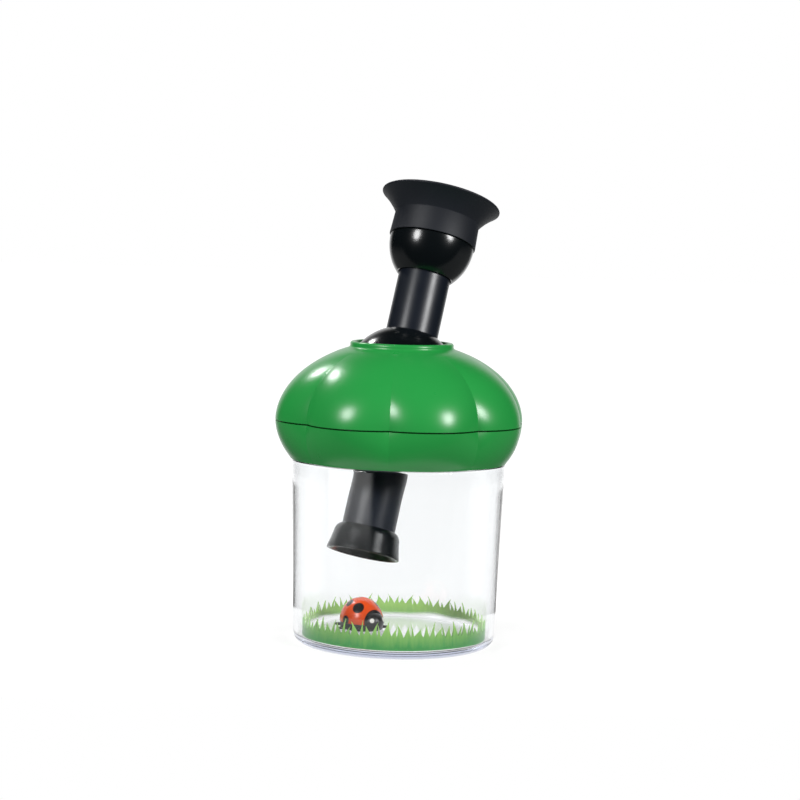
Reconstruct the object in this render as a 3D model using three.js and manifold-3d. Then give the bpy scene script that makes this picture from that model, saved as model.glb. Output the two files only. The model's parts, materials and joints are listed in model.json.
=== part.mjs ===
// A toy bug viewer: a clear jar under a lobed green cap, with a swivelling ball in the cap's
// collar and a viewing scope that slides through the ball.
// Millimetres and +Z up. The origin is the centre of the jar's underside and -Y is the front.

import * as THREE from "three";
import { mergeVertices } from "three/addons/utils/BufferGeometryUtils.js";
import Module from "manifold-3d";

const wasm = await Module();
wasm.setup();

// Clearances that the whole toy shares
const fitGap = 0.3;
const cutOverrun = 1;

// Jar: a tapered clear tumbler with a narrower neck that the cap pushes over
const jarFootRadius = 41;
const jarShoulderRadius = 43.2;
const jarShoulderHeight = 74.4;
const jarNeckStep = 1.2;
const jarNeckLength = 12;
const jarWall = 1.8;
const jarNeckWall = 1.4;
const jarFloor = 3;
const jarFootRounding = 3.5;
const jarInnerRounding = 1.2;
const jarShoulderRounding = 0.8;
const jarRimRounding = 0.6;
const jarNeckFlare = 8;

// Cap: two lobed shells that meet at the widest level, the seam
const capOverhang = 6.8;
const capHalfHeight = 32.5;
const capEdgeDropShare = 0.483;
const capEdgeRounding = 0.6;
const capWall = 2.2;
const capSeamGap = 0.6;
const capLipHeight = 2;
const capLipWall = 1.1;
const capLipRoot = 2.2;
const lobeCount = 8;
const lobeDepth = 4;
const creaseAzimuth = -50;
const lobeTopShare = 0.8615;
const lobeSwellShare = 0.3;
const lobeEdgeShare = 0.2;
const lobeFadePower = 0.5;

// Collar and ball socket in the middle of the cap
const collarTubeGap = 1.37;
const collarWall = 2.2;
const collarRiseShare = 0.9815;
const ballRiseShare = 0.4646;
const ballRadius = 23.3;
const sleeveWall = 2.6;

// Jar socket and web inside the cap's lower ring
const socketWall = 1.2;
const webThickness = 2;
const webMargin = 0.9;

// Ring under the ball and the retainer that holds it, with an ear for each screw
const seatRingDropShare = 0.6094;
const seatRingTopShare = 0.2661;
const seatRingWall = 1;
const retainerWall = 1.9;
const retainerLip = 1.5;
const retainerEarDrop = 10.5;
const retainerEarHeight = 2;
const retainerEarRoot = 0.6;

// Self-tapping screws and the bosses that take them
const screwCount = 4;
const screwHeadRadius = 2.4;
const screwRimGap = 1.8;
const screwHeadHeight = 1.5;
const screwCrownRadius = 1.6;
const screwShankRadius = 1.2;
const screwShankLength = 7.5;
const screwPointLength = 1.2;
const screwSlotWidth = 0.6;
const screwSlotDepth = 0.7;
const bossRadius = 3;
const bossHoleDepth = 8;

// Ball: two hollow halves round a bore, with a friction ring between them
const ballWall = 2.4;
const ballSplitGap = 0.3;
const ballSleeveWall = 1.8;
const ballLipHeight = 1.8;
const ballLipWall = 1.3;
const ballLipRoot = 1.5;
const frictionRingDepth = 1.95;
const frictionRingHalfHeight = 2;

// Rest pose: the side that the scope leans to, and the hood's gap to the jar's wall
const leanDirection = 57;
const hoodWallGap = 1.35;

// Scope, measured along its axis from the ball's centre
const tubeRadius = 10.65;
const tubeWall = 1.6;
const tubeTopDrop = 5.4;
const tubeBottom = 66;
const housingRadius = 17.4;
const housingEquator = 60.4;
const housingHalfHeight = 19.8;
const housingNeckWall = 0.7;
const housingRimStep = 1.2;
const housingRimWall = 1;
const housingRimHeight = 10.2;
const housingLedge = 2;
const housingLedgeDrop = 6.1;
const housingThroatWall = 1.2;
const housingStopReach = 1.05;

// Rubber eyecup: a sleeve on the housing's rim and a flare to the eye
const eyecupBandProud = 0.5;
const eyecupBandTaper = 0.4;
const eyecupThroatDrop = 0.2;
const eyecupReach = 8.2;
const eyecupRimRadius = 24.6;
const eyecupLip = 0.5;
const eyecupFlareReach = 2.7;
const eyecupFlareRise = 4.3;
const eyecupShoulderReach = 2.7;
const eyecupShoulder = 1.3;
const eyecupInnerReach = 3.4;
const eyecupInnerRise = 4.4;

// Lenses and the rings that hold them
const lensEdge = 2;
const lensBulge = 1.6;
const lensRim = 2.4;
const lensRingHeight = 2;
const objectiveLensEdge = 1.4;
const objectiveLensBulge = 0.8;
const objectiveRingWall = 1.8;
const objectiveRingHeight = 1.3;
const fieldStopHeight = 48;
const fieldStopThickness = 1.2;
const fieldStopRadius = 5.5;

// Bell-shaped hood on the scope's lower end
const hoodOverhang = 5.5;
const hoodRadius = 14.6;
const hoodWaistRadius = 13.2;
const hoodWaistHeight = 7.9;
const hoodShoulderRadius = 12.4;
const hoodShoulderHeight = 9.3;
const hoodTopHeight = 10.3;
const hoodTopWall = 0.5;
const hoodRimWall = 1.2;
const hoodLedge = 1;
const hoodLedgeReach = 0.75;

// Grass strip that stands round the jar's floor
const grassThickness = 0.5;
const grassFrontHeight = 12.2;
const grassBackHeight = 7.4;
const grassBladePitch = 3.9;
const grassValleyShare = 0.46;
const grassTipShares = [1, 0.8, 0.93, 0.74, 0.97, 0.84, 0.7];
const grassLeanShares = [0.22, -0.18, 0.3, 0.1, -0.28];

// Toy ladybird on the jar's floor
const beetleLength = 20;
const beetleWidth = 17.4;
const beetleHeight = 12.2;
const beetleBodyHeight = 2.4;
const beetleHeadRadius = 3.6;
const beetleHeadWidth = 9;
const beetleHeadShare = 0.43;
const beetleLegRadius = 0.8;
const beetleLegProud = 2.3;
const beetleLegSpreads = [-48, 0, 48];
const beetleX = -13.5;
const beetleY = 9;
const beetleHeading = 38;

// Facets
const lobedSegments = 40;
const roundSegments = 36;
const scopeSegments = 24;
const smallSegments = 8;
const legSegments = 5;
const domeSteps = 9;
const skirtSteps = 4;
const seatSteps = 4;
const ballSteps = 6;
const flareSteps = 4;
const lensSteps = 2;
const roundingSteps = 2;

// Places that follow from the sizes above
const degree = Math.PI / 180;
const jarNeckRadius = jarShoulderRadius - jarNeckStep;
const jarNeckTop = jarShoulderHeight + jarNeckLength;
const capRadius = jarShoulderRadius + capOverhang;
const capEdgeDrop = capHalfHeight * capEdgeDropShare;
const seamHeight = jarShoulderHeight + fitGap + capEdgeDrop;
const ballRise = capHalfHeight * ballRiseShare;
const pivotHeight = seamHeight + ballRise;
const seatRadius = ballRadius + fitGap;
const seatRingDrop = ballRadius * seatRingDropShare;
const seatRingTopDrop = ballRadius * seatRingTopShare;
const seatRingRadius = seatRadius + seatRingWall;
const retainerBore = seatRingRadius + fitGap;
const retainerRadius = retainerBore + retainerWall;
const retainerLipRadius = Math.sqrt(seatRadius ** 2 - seatRingDrop ** 2) + fitGap;
const retainerScrewCircle = retainerRadius + fitGap + bossRadius;
const capScrewCircle = jarNeckRadius - jarNeckWall - screwRimGap - screwHeadRadius;
const webInnerRadius = capScrewCircle - bossRadius - webMargin;
const webBottom = jarNeckTop + fitGap;
const webTop = webBottom + webThickness;
const earBottom = pivotHeight - retainerEarDrop;
const earTop = earBottom + retainerEarHeight;
const ballBore = tubeRadius + fitGap;
const screwHole = screwShankRadius + fitGap;

// The scope leans until its hood comes near the jar's wall, and the collar leaves the tube room
const hoodBottom = tubeBottom + hoodOverhang;
const hoodReach = jarFootRadius - jarWall - hoodWallGap;
const hoodCorner = Math.hypot(hoodBottom, hoodRadius);
const leanAngle = (Math.asin(hoodReach / hoodCorner) - Math.atan(hoodRadius / hoodBottom)) / degree;
const collarRise = capHalfHeight * collarRiseShare;
const tubeShift = (collarRise - ballRise) * Math.tan(leanAngle * degree);
const collarRadius = tubeShift + tubeRadius / Math.cos(leanAngle * degree) + collarTubeGap;

// Geometry helpers

/** A solid of revolution about Z from [radius, height] points that go up its outer side. */
function revolve(points, segments, startAzimuth = 0) {
  const outline = points.map(([radius, height]) => new THREE.Vector2(radius, height));
  const lathe = new THREE.LatheGeometry(outline, segments, startAzimuth * degree);
  return lathe.rotateX(Math.PI / 2);
}

/** The same, for a section that closes on itself away from the axis. */
function revolveRing(points, segments, startAzimuth = 0) {
  return revolve([...points, points[0]], segments, startAzimuth);
}

/** Points on an ellipse about [0, middle], from one angle to another in degrees. */
function ellipseArc(halfWidth, halfHeight, middle, from, to, steps) {
  const points = [];
  for (let i = 0; i <= steps; i += 1) {
    const angle = (from + ((to - from) * i) / steps) * degree;
    points.push([halfWidth * Math.cos(angle), middle + halfHeight * Math.sin(angle)]);
  }
  return points;
}

/** Points on a small rounding about [radius, height]. */
function rounding(radius, height, size, from, to) {
  const arc = ellipseArc(size, size, height, from, to, roundingSteps);
  return arc.map(([x, z]) => [radius + x, z]);
}

/** Points along a curve bent towards one control point. */
function bend(start, control, end, steps) {
  const [a, b, c] = [start, control, end].map(([x, z]) => new THREE.Vector2(x, z));
  const curve = new THREE.QuadraticBezierCurve(a, b, c);
  return curve.getPoints(steps).map((point) => [point.x, point.y]);
}

/** A geometry as a solid that can be joined and cut. */
function solidOf(geometry) {
  const bare = geometry.clone();
  bare.deleteAttribute("normal");
  bare.deleteAttribute("uv");
  const merged = mergeVertices(bare);
  const vertProperties = new Float32Array(merged.attributes.position.array);
  const triVerts = new Uint32Array(merged.index.array);
  return new wasm.Manifold(new wasm.Mesh({ numProp: 3, vertProperties, triVerts }));
}

/** A joined or cut solid as a geometry again. */
function geometryOf(solid) {
  const result = solid.getMesh();
  const geometry = new THREE.BufferGeometry();
  geometry.setAttribute("position", new THREE.BufferAttribute(result.vertProperties, 3));
  geometry.setIndex(new THREE.BufferAttribute(result.triVerts, 1));
  geometry.computeVertexNormals();
  return geometry;
}

/** A round bar along Z from one height to another. */
function bar(radius, bottom, top, x, y) {
  const cylinder = new THREE.CylinderGeometry(radius, radius, top - bottom, smallSegments);
  cylinder.rotateX(Math.PI / 2);
  return cylinder.translate(x, y, (bottom + top) / 2);
}

/** A ball scaled to an ellipsoid about the origin. */
function ellipsoid(halfX, halfY, halfZ, around, upward) {
  return new THREE.SphereGeometry(1, around, upward).rotateX(Math.PI / 2).scale(halfX, halfY, halfZ);
}

/** The angle in degrees at which a radius of that length meets a circle or half-width. */
function angleAt(part, whole) {
  return Math.acos(part / whole) / degree;
}

/** Places spread evenly on a circle, the first at an azimuth from the front towards +X. */
function circlePlaces(count, circle, firstAzimuth) {
  return Array.from({ length: count }, (_, i) => {
    const azimuth = (firstAzimuth + (360 * i) / count) * degree;
    return [circle * Math.sin(azimuth), -circle * Math.cos(azimuth)];
  });
}

// Lobes: convex panels that meet in creases, deepest at the seam, gone at the collar

/** How deep the creases are at a height above the seam. */
function lobeDepthAt(rise) {
  const reach = rise > 0 ? capHalfHeight * lobeTopShare : capEdgeDrop;
  const left = Math.max(0, 1 - Math.abs(rise) / reach);
  const share = rise > 0 ? left ** lobeFadePower : lobeEdgeShare + (1 - lobeEdgeShare) * left;
  return lobeDepth * share;
}

/** Swells and creases every point of a shell that lies outside a radius. */
function shapeLobes(geometry, innerLimit) {
  const spots = geometry.attributes.position;
  const panel = 360 / lobeCount;
  for (let i = 0; i < spots.count; i += 1) {
    const [x, y, z] = [spots.getX(i), spots.getY(i), spots.getZ(i)];
    const radius = Math.hypot(x, y);
    if (radius <= innerLimit) {
      continue;
    }
    const azimuth = Math.atan2(x, -y) / degree;
    const turns = (azimuth - creaseAzimuth) / panel;
    const across = 2 * (turns - Math.floor(turns)) - 1;
    const grown = radius + lobeDepthAt(z - seamHeight) * (lobeSwellShare - across * across);
    spots.setXY(i, (x * grown) / radius, (y * grown) / radius);
  }
  return geometry;
}

const firstLobe = creaseAzimuth + 180 / lobeCount;
const capScrewPlaces = circlePlaces(screwCount, capScrewCircle, firstLobe);
const retainerScrewPlaces = circlePlaces(screwCount, retainerScrewCircle, firstLobe + 180 / screwCount);

// Jar

function jarGeometry() {
  const innerFoot = jarFootRadius - jarWall;
  const innerShoulder = jarShoulderRadius - jarWall;
  const innerNeck = jarNeckRadius - jarNeckWall;
  const flareBottom = jarShoulderHeight - jarNeckFlare;
  return revolve([
    [0, 0],
    ...rounding(jarFootRadius - jarFootRounding, jarFootRounding, jarFootRounding, -90, 0),
    ...rounding(
      jarShoulderRadius - jarShoulderRounding,
      jarShoulderHeight - jarShoulderRounding,
      jarShoulderRounding,
      0,
      90,
    ),
    [jarNeckRadius, jarShoulderHeight],
    ...rounding(jarNeckRadius - jarRimRounding, jarNeckTop - jarRimRounding, jarRimRounding, 0, 90),
    ...rounding(innerNeck + jarRimRounding, jarNeckTop - jarRimRounding, jarRimRounding, 90, 180),
    [innerNeck, jarShoulderHeight],
    [innerShoulder, flareBottom],
    ...rounding(innerFoot - jarInnerRounding, jarFloor + jarInnerRounding, jarInnerRounding, 0, -90),
    [0, jarFloor],
  ], roundSegments);
}

// Cap

/** The upper shell: dome, collar, and the sleeve whose round seat holds the ball down. */
function capDomeGeometry() {
  const innerRadius = capRadius - capWall;
  const innerHalfHeight = capHalfHeight - capWall;
  const collarOuter = collarRadius + collarWall;
  const collarTop = seamHeight + collarRise - collarWall / 2;
  const sleeveRadius = seatRadius + sleeveWall;
  const sleeveBottom = pivotHeight + fitGap;
  const seamAngle = Math.asin(capSeamGap / 2 / capHalfHeight) / degree;
  const seatBottomAngle = Math.asin(fitGap / seatRadius) / degree;
  const landAngle = Math.asin((capLipHeight + fitGap) / innerHalfHeight) / degree;
  const shell = revolveRing([
    ...ellipseArc(
      capRadius, capHalfHeight, seamHeight, seamAngle, angleAt(collarOuter, capRadius), domeSteps,
    ),
    ...rounding(collarRadius + collarWall / 2, collarTop, collarWall / 2, 0, 180),
    ...ellipseArc(
      seatRadius, seatRadius, pivotHeight, angleAt(collarRadius, seatRadius), seatBottomAngle, seatSteps,
    ),
    [sleeveRadius, sleeveBottom],
    ...ellipseArc(
      innerRadius, innerHalfHeight, seamHeight, angleAt(sleeveRadius, innerRadius), landAngle, skirtSteps,
    ),
    [innerRadius, seamHeight + capSeamGap / 2],
  ], lobedSegments, creaseAzimuth);
  let dome = solidOf(shapeLobes(shell, sleeveRadius + fitGap));
  const roof = new THREE.Vector2(innerRadius, innerHalfHeight);
  for (const [places, circle, bottom] of [
    [capScrewPlaces, capScrewCircle, webTop + fitGap],
    [retainerScrewPlaces, retainerScrewCircle, earTop + fitGap],
  ]) {
    const inner = roof.y * Math.sqrt(1 - ((circle - bossRadius) / roof.x) ** 2);
    const outer = roof.y * Math.sqrt(1 - ((circle + bossRadius) / roof.x) ** 2);
    const top = seamHeight + Math.min(inner, outer) + capWall;
    for (const [x, y] of places) {
      dome = dome.add(solidOf(bar(bossRadius, bottom, top, x, y)));
      dome = dome.subtract(solidOf(bar(screwHole, bottom - cutOverrun, bottom + bossHoleDepth, x, y)));
    }
  }
  return geometryOf(dome);
}

/** The lower shell: skirt, spigot lip at the seam, jar socket and the web over the jar's rim. */
function capLowerRingGeometry() {
  const socketBore = jarNeckRadius + fitGap;
  const socketOuter = socketBore + socketWall;
  const edge = seamHeight - capEdgeDrop;
  const seamFace = seamHeight - capSeamGap / 2;
  const edgeAngle = -Math.asin((capEdgeDrop - capEdgeRounding) / capHalfHeight) / degree;
  const seamAngle = -Math.asin(capSeamGap / 2 / capHalfHeight) / degree;
  const edgeRadius = capRadius * Math.cos(edgeAngle * degree) - capEdgeRounding;
  const innerRadius = capRadius - capWall;
  const innerHalfHeight = capHalfHeight - capWall;
  const lipOuter = innerRadius - fitGap;
  const lipInner = lipOuter - capLipWall;
  const rootAngle = -Math.asin(capLipRoot / innerHalfHeight) / degree;
  const channelAngle = -angleAt(socketOuter, innerRadius);
  const shell = revolveRing([
    [edgeRadius, edge],
    ...ellipseArc(capRadius, capHalfHeight, seamHeight, edgeAngle, seamAngle, skirtSteps),
    [lipOuter, seamFace],
    [lipOuter, seamHeight + capLipHeight],
    [lipInner, seamHeight + capLipHeight],
    [lipInner, seamHeight - capLipRoot],
    ...ellipseArc(innerRadius, innerHalfHeight, seamHeight, rootAngle, channelAngle, skirtSteps),
    [socketOuter, webTop],
    [webInnerRadius, webTop],
    [webInnerRadius, webBottom],
    [socketBore, webBottom],
    [socketBore, edge],
  ], lobedSegments, creaseAzimuth);
  let ring = solidOf(shapeLobes(shell, socketOuter + fitGap / 2));
  for (const [x, y] of capScrewPlaces) {
    ring = ring.subtract(solidOf(bar(screwHole, webBottom - cutOverrun, webTop + cutOverrun, x, y)));
  }
  return geometryOf(ring);
}

/** A pan-head screw, head down, whose head's upper face lies a gap below a face. */
function screwGeometry(faceHeight) {
  const seat = faceHeight - fitGap;
  const headBottom = seat - screwHeadHeight;
  const tip = seat + screwShankLength;
  const blank = revolve([
    [0, headBottom],
    [screwCrownRadius, headBottom],
    [screwHeadRadius, (headBottom + seat) / 2],
    [screwHeadRadius, seat],
    [screwShankRadius, seat],
    [screwShankRadius, tip - screwPointLength],
    [0, tip],
  ], smallSegments);
  let screw = solidOf(blank);
  const slotLength = 2 * screwCrownRadius;
  for (const sides of [[slotLength, screwSlotWidth], [screwSlotWidth, slotLength]]) {
    const slot = new THREE.BoxGeometry(...sides, 2 * screwSlotDepth);
    screw = screw.subtract(solidOf(slot.translate(0, 0, headBottom)));
  }
  return geometryOf(screw);
}

/** The ring that is screwed up under the dome and closes the socket from below. */
function retainerGeometry() {
  const lipTop = pivotHeight - seatRingDrop - fitGap;
  const earRadius = bossRadius + fitGap + retainerEarRoot;
  let ring = solidOf(revolveRing([
    [retainerRadius, lipTop - retainerLip],
    [retainerRadius, pivotHeight],
    [retainerBore, pivotHeight],
    [retainerBore, lipTop],
    [retainerLipRadius, lipTop],
    [retainerLipRadius, lipTop - retainerLip],
  ], roundSegments));
  for (const [x, y] of retainerScrewPlaces) {
    ring = ring.add(solidOf(bar(earRadius, earBottom, earTop, x, y)));
    ring = ring.subtract(solidOf(bar(screwHole, earBottom - cutOverrun, earTop + cutOverrun, x, y)));
  }
  return geometryOf(ring);
}

/** The loose ring that the ball sits on, with a round seat. */
function seatRingGeometry() {
  const bottomAngle = -Math.asin(seatRingDrop / seatRadius) / degree;
  const topAngle = -Math.asin(seatRingTopDrop / seatRadius) / degree;
  return revolveRing([
    [seatRingRadius, pivotHeight - seatRingDrop],
    [seatRingRadius, pivotHeight - seatRingTopDrop],
    ...ellipseArc(seatRadius, seatRadius, pivotHeight, topAngle, bottomAngle, seatSteps),
  ], roundSegments);
}

// Ball, about its own centre with its bore along Z

const ballSleeveRadius = ballBore + frictionRingDepth + fitGap + ballSleeveWall;
const ballGrooveRadius = ballBore + frictionRingDepth + fitGap;
const ballGrooveTop = frictionRingHalfHeight + fitGap;
const ballInner = ballRadius - ballWall;
const ballFace = ballSplitGap / 2;

function ballUpperGeometry() {
  const faceAngle = Math.asin(ballFace / ballRadius) / degree;
  const innerFaceAngle = Math.asin(ballFace / ballInner) / degree;
  return revolveRing([
    ...ellipseArc(ballRadius, ballRadius, 0, faceAngle, angleAt(ballBore, ballRadius), ballSteps),
    [ballBore, ballGrooveTop],
    [ballGrooveRadius, ballGrooveTop],
    [ballGrooveRadius, ballFace],
    [ballSleeveRadius, ballFace],
    ...ellipseArc(
      ballInner, ballInner, 0, angleAt(ballSleeveRadius, ballInner), innerFaceAngle, skirtSteps,
    ),
  ], scopeSegments);
}

function ballLowerGeometry() {
  const faceAngle = Math.asin(ballFace / ballRadius) / degree;
  const rootAngle = Math.asin(ballLipRoot / ballInner) / degree;
  const lipOuter = ballInner - fitGap;
  return revolveRing([
    ...ellipseArc(ballRadius, ballRadius, 0, -angleAt(ballBore, ballRadius), -faceAngle, ballSteps),
    [lipOuter, -ballFace],
    [lipOuter, ballLipHeight],
    [lipOuter - ballLipWall, ballLipHeight],
    [lipOuter - ballLipWall, -ballLipRoot],
    ...ellipseArc(ballInner, ballInner, 0, -rootAngle, -angleAt(ballSleeveRadius, ballInner), skirtSteps),
    [ballSleeveRadius, -ballFace],
    [ballGrooveRadius, -ballFace],
    [ballGrooveRadius, -ballGrooveTop],
    [ballBore, -ballGrooveTop],
  ], scopeSegments);
}

function frictionRingGeometry() {
  const outer = ballBore + frictionRingDepth;
  return revolveRing([
    [outer, -frictionRingHalfHeight],
    [outer, frictionRingHalfHeight],
    [ballBore, frictionRingHalfHeight],
    [ballBore, -frictionRingHalfHeight],
  ], scopeSegments);
}

// Scope, about the ball's centre with its axis along Z

const housingRim = housingEquator + housingRimHeight;
const housingRimRadius = housingRadius - housingRimStep;
const housingRimBore = housingRimRadius - housingRimWall;
const housingLedgeTop = housingRim - housingLedgeDrop;
const tubeTop = housingEquator - tubeTopDrop;
const tubeBore = tubeRadius - tubeWall;
const eyepieceLensRadius = housingRimBore - fitGap;
const objectiveRadius = tubeBore - fitGap;

function tubeGeometry() {
  return revolveRing([
    [tubeRadius, -tubeBottom],
    [tubeRadius, tubeTop],
    [tubeBore, tubeTop],
    [tubeBore, -tubeBottom],
  ], scopeSegments);
}

/** The round eyepiece housing: a bowl on the tube's top with a ledge for the lens. */
function housingGeometry() {
  const neckAngle = -angleAt(ballBore + housingNeckWall, housingRadius);
  const neckBottom = housingEquator + housingHalfHeight * Math.sin(neckAngle * degree);
  const stop = tubeTop + fitGap;
  const throatRadius = tubeRadius - housingStopReach;
  return revolveRing([
    [ballBore, neckBottom],
    ...ellipseArc(housingRadius, housingHalfHeight, housingEquator, neckAngle, 0, ballSteps),
    [housingRimRadius, housingEquator],
    [housingRimRadius, housingRim],
    [housingRimBore, housingRim],
    [housingRimBore, housingLedgeTop],
    [housingRimBore - housingLedge, housingLedgeTop],
    [throatRadius, stop + housingThroatWall],
    [throatRadius, stop],
    [ballBore, stop],
  ], scopeSegments);
}

/** The rubber eyecup: a sleeve over the housing's rim that flares out to the eye. */
function eyecupGeometry() {
  const bandRadius = housingRadius + eyecupBandProud;
  const throatRadius = bandRadius - eyecupBandTaper;
  const sleeveBore = housingRimRadius + fitGap;
  const bandBottom = housingEquator + fitGap;
  const shoulderBottom = housingRim + fitGap;
  const shoulderTop = shoulderBottom + eyecupShoulder;
  const throat = housingRim - eyecupThroatDrop;
  const lipMiddle = eyecupRimRadius - eyecupLip;
  const lipHeight = housingRim + eyecupReach - eyecupLip;
  const openingRadius = sleeveBore - eyecupShoulderReach;
  return revolveRing([
    [sleeveBore, bandBottom],
    [bandRadius, bandBottom],
    ...bend(
      [throatRadius, throat],
      [throatRadius + eyecupFlareReach, throat + eyecupFlareRise],
      [lipMiddle + eyecupLip / 2, lipHeight - eyecupLip],
      flareSteps,
    ),
    ...rounding(lipMiddle, lipHeight, eyecupLip, 0, 120),
    ...bend(
      [lipMiddle - eyecupLip, lipHeight],
      [openingRadius + eyecupInnerReach, shoulderTop + eyecupInnerRise],
      [openingRadius, shoulderTop],
      flareSteps,
    ),
    [openingRadius, shoulderBottom],
    [sleeveBore, shoulderBottom],
  ], scopeSegments);
}

/** A lens with two bulged faces inside a flat rim, the rim's lower side at a height. */
function lensGeometry(radius, rim, edgeBottom, edge, bulge) {
  const clearRadius = radius - rim;
  const lower = [];
  const upper = [];
  for (let i = 0; i <= lensSteps; i += 1) {
    const out = i / lensSteps;
    const swell = bulge * (1 - out * out);
    lower.push([clearRadius * out, edgeBottom - swell]);
    upper.unshift([clearRadius * out, edgeBottom + edge + swell]);
  }
  return revolve([...lower, [radius, edgeBottom], [radius, edgeBottom + edge], ...upper], scopeSegments);
}

/** A plain ring with a square section. */
function spacerGeometry(outer, inner, bottom, height) {
  return revolveRing([
    [outer, bottom],
    [outer, bottom + height],
    [inner, bottom + height],
    [inner, bottom],
  ], scopeSegments);
}

/** The bell-shaped hood that is pushed over the tube's lower end. */
function hoodGeometry() {
  const ledgeTop = -tubeBottom - fitGap;
  const ledgeRadius = tubeRadius - hoodLedgeReach;
  const top = hoodTopHeight - hoodBottom;
  return revolveRing([
    [hoodRadius - hoodRimWall, -hoodBottom],
    [hoodRadius, -hoodBottom],
    [hoodWaistRadius, hoodWaistHeight - hoodBottom],
    [hoodShoulderRadius, hoodShoulderHeight - hoodBottom],
    [ballBore + hoodTopWall, top],
    [ballBore, top],
    [ballBore, ledgeTop],
    [ledgeRadius, ledgeTop],
    [ledgeRadius, ledgeTop - hoodLedge],
  ], scopeSegments);
}

// What stands on the jar's floor

/** A die-cut strip with a grass-blade top edge, bent into a ring whose ends meet at the back. */
function grassGeometry() {
  const outer = jarFootRadius - jarWall - jarInnerRounding - fitGap;
  const middle = outer - grassThickness / 2;
  const length = 2 * Math.PI * middle - fitGap;
  const blades = Math.round(length / grassBladePitch);
  const columns = 2 * blades;
  const strip = new THREE.BoxGeometry(length, 1, grassThickness, columns, 1, 1);
  const spots = strip.attributes.position;
  const bottom = jarFloor + fitGap;
  for (let i = 0; i < spots.count; i += 1) {
    const column = Math.round((spots.getX(i) / length + 1 / 2) * columns);
    const blade = (column - 1) / 2;
    const isTip = Number.isInteger(blade);
    const isTop = spots.getY(i) > 0;
    const lean = isTop && isTip ? grassBladePitch * grassLeanShares[blade % grassLeanShares.length] : 0;
    const azimuth = (spots.getX(i) + lean) / middle;
    const towardsFront = (1 + Math.cos(azimuth)) / 2;
    const tall = grassBackHeight + (grassFrontHeight - grassBackHeight) * towardsFront;
    const share = isTip ? grassTipShares[blade % grassTipShares.length] : grassValleyShare;
    const radius = middle + spots.getZ(i);
    const height = isTop ? bottom + tall * share : bottom;
    spots.setXYZ(i, radius * Math.sin(azimuth), -radius * Math.cos(azimuth), height);
  }
  return strip;
}

const beetleFloor = jarFloor + fitGap;
const beetleShellBottom = beetleFloor + beetleBodyHeight + fitGap;

/** A dome over the ladybird, its flat side down at a height, a margin wider than the wing cases. */
function beetleDome(bottom, margin) {
  const rise = beetleFloor + beetleHeight - beetleShellBottom + margin;
  const across = beetleWidth / 2 + margin;
  const along = beetleLength / 2 + margin;
  const round = ellipsoid(across, along, rise, scopeSegments, smallSegments);
  const below = new THREE.BoxGeometry(4 * across, 4 * along, 2 * rise).translate(0, 0, -rise);
  return solidOf(round).subtract(solidOf(below)).translate([0, 0, bottom]);
}

/** The flat underside with six legs, and the head in front of the wing cases. */
function beetleBodySolid() {
  const plate = new THREE.CylinderGeometry(1, 1, beetleBodyHeight, scopeSegments).rotateX(Math.PI / 2);
  plate.scale(beetleWidth / 2 - fitGap, beetleLength / 2 - fitGap, 1);
  plate.translate(0, 0, beetleFloor + beetleBodyHeight / 2);
  const headSize = [beetleHeadWidth / 2, beetleHeadRadius, beetleHeadRadius];
  const head = ellipsoid(...headSize, smallSegments, smallSegments);
  head.translate(0, -beetleLength * beetleHeadShare, beetleFloor + beetleHeadRadius);
  const clearance = beetleDome(beetleShellBottom - fitGap, fitGap);
  let body = solidOf(head).subtract(clearance).add(solidOf(plate));
  for (const side of [-1, 1]) {
    for (const spread of beetleLegSpreads) {
      const thick = beetleLegRadius;
      const reach = beetleWidth / 2 + beetleLegProud;
      const leg = new THREE.CylinderGeometry(thick, thick, reach, legSegments);
      leg.rotateZ(Math.PI / 2).translate((side * reach) / 2, 0, beetleFloor + thick);
      body = body.add(solidOf(leg.rotateZ(side * spread * degree)));
    }
  }
  return body;
}

// Materials

function plastic(color, roughness) {
  return new THREE.MeshStandardMaterial({ color, roughness, metalness: 0 });
}

function clear(color, opacity) {
  const look = { color, roughness: 0.05, metalness: 0, transparent: true, opacity };
  return new THREE.MeshStandardMaterial(look);
}

function steel() {
  return new THREE.MeshStandardMaterial({ color: 0xb8bcc0, roughness: 0.3, metalness: 1 });
}

const capGreen = 0x2f9948;
const glossBlack = 0x0d1417;
const tubeBlack = 0x1e232b;
const rubberBlack = 0x22262c;
const greyNylon = 0x9a9d9f;

// Assembly

const viewer = new THREE.Group();

/** Adds a named piece to a group. */
function addPiece(group, name, geometry, material) {
  const mesh = new THREE.Mesh(geometry, material);
  mesh.name = name;
  group.add(mesh);
  return mesh;
}

addPiece(viewer, "jar", jarGeometry(), clear(0xf2f7fb, 0.25));
addPiece(viewer, "grass_insert", grassGeometry(), plastic(0x52a148, 0.5));

const beetle = new THREE.Group();
beetle.position.set(beetleX, beetleY, 0);
beetle.rotation.z = beetleHeading * degree;
const wingCases = geometryOf(beetleDome(beetleShellBottom, 0));
addPiece(beetle, "ladybird_wing_cases", wingCases, plastic(0xd84a1e, 0.2));
addPiece(beetle, "ladybird_body", geometryOf(beetleBodySolid()), plastic(0x141414, 0.3));
viewer.add(beetle);

addPiece(viewer, "cap_lower_ring", capLowerRingGeometry(), plastic(capGreen, 0.25));
addPiece(viewer, "cap_dome", capDomeGeometry(), plastic(capGreen, 0.25));
addPiece(viewer, "socket_retainer", retainerGeometry(), plastic(tubeBlack, 0.5));
capScrewPlaces.forEach(([x, y], i) => {
  addPiece(viewer, `cap_screw_${i + 1}`, screwGeometry(webBottom), steel()).position.set(x, y, 0);
});
retainerScrewPlaces.forEach(([x, y], i) => {
  addPiece(viewer, `retainer_screw_${i + 1}`, screwGeometry(earBottom), steel()).position.set(x, y, 0);
});
addPiece(viewer, "ball_seat_ring", seatRingGeometry(), plastic(greyNylon, 0.5));

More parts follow.
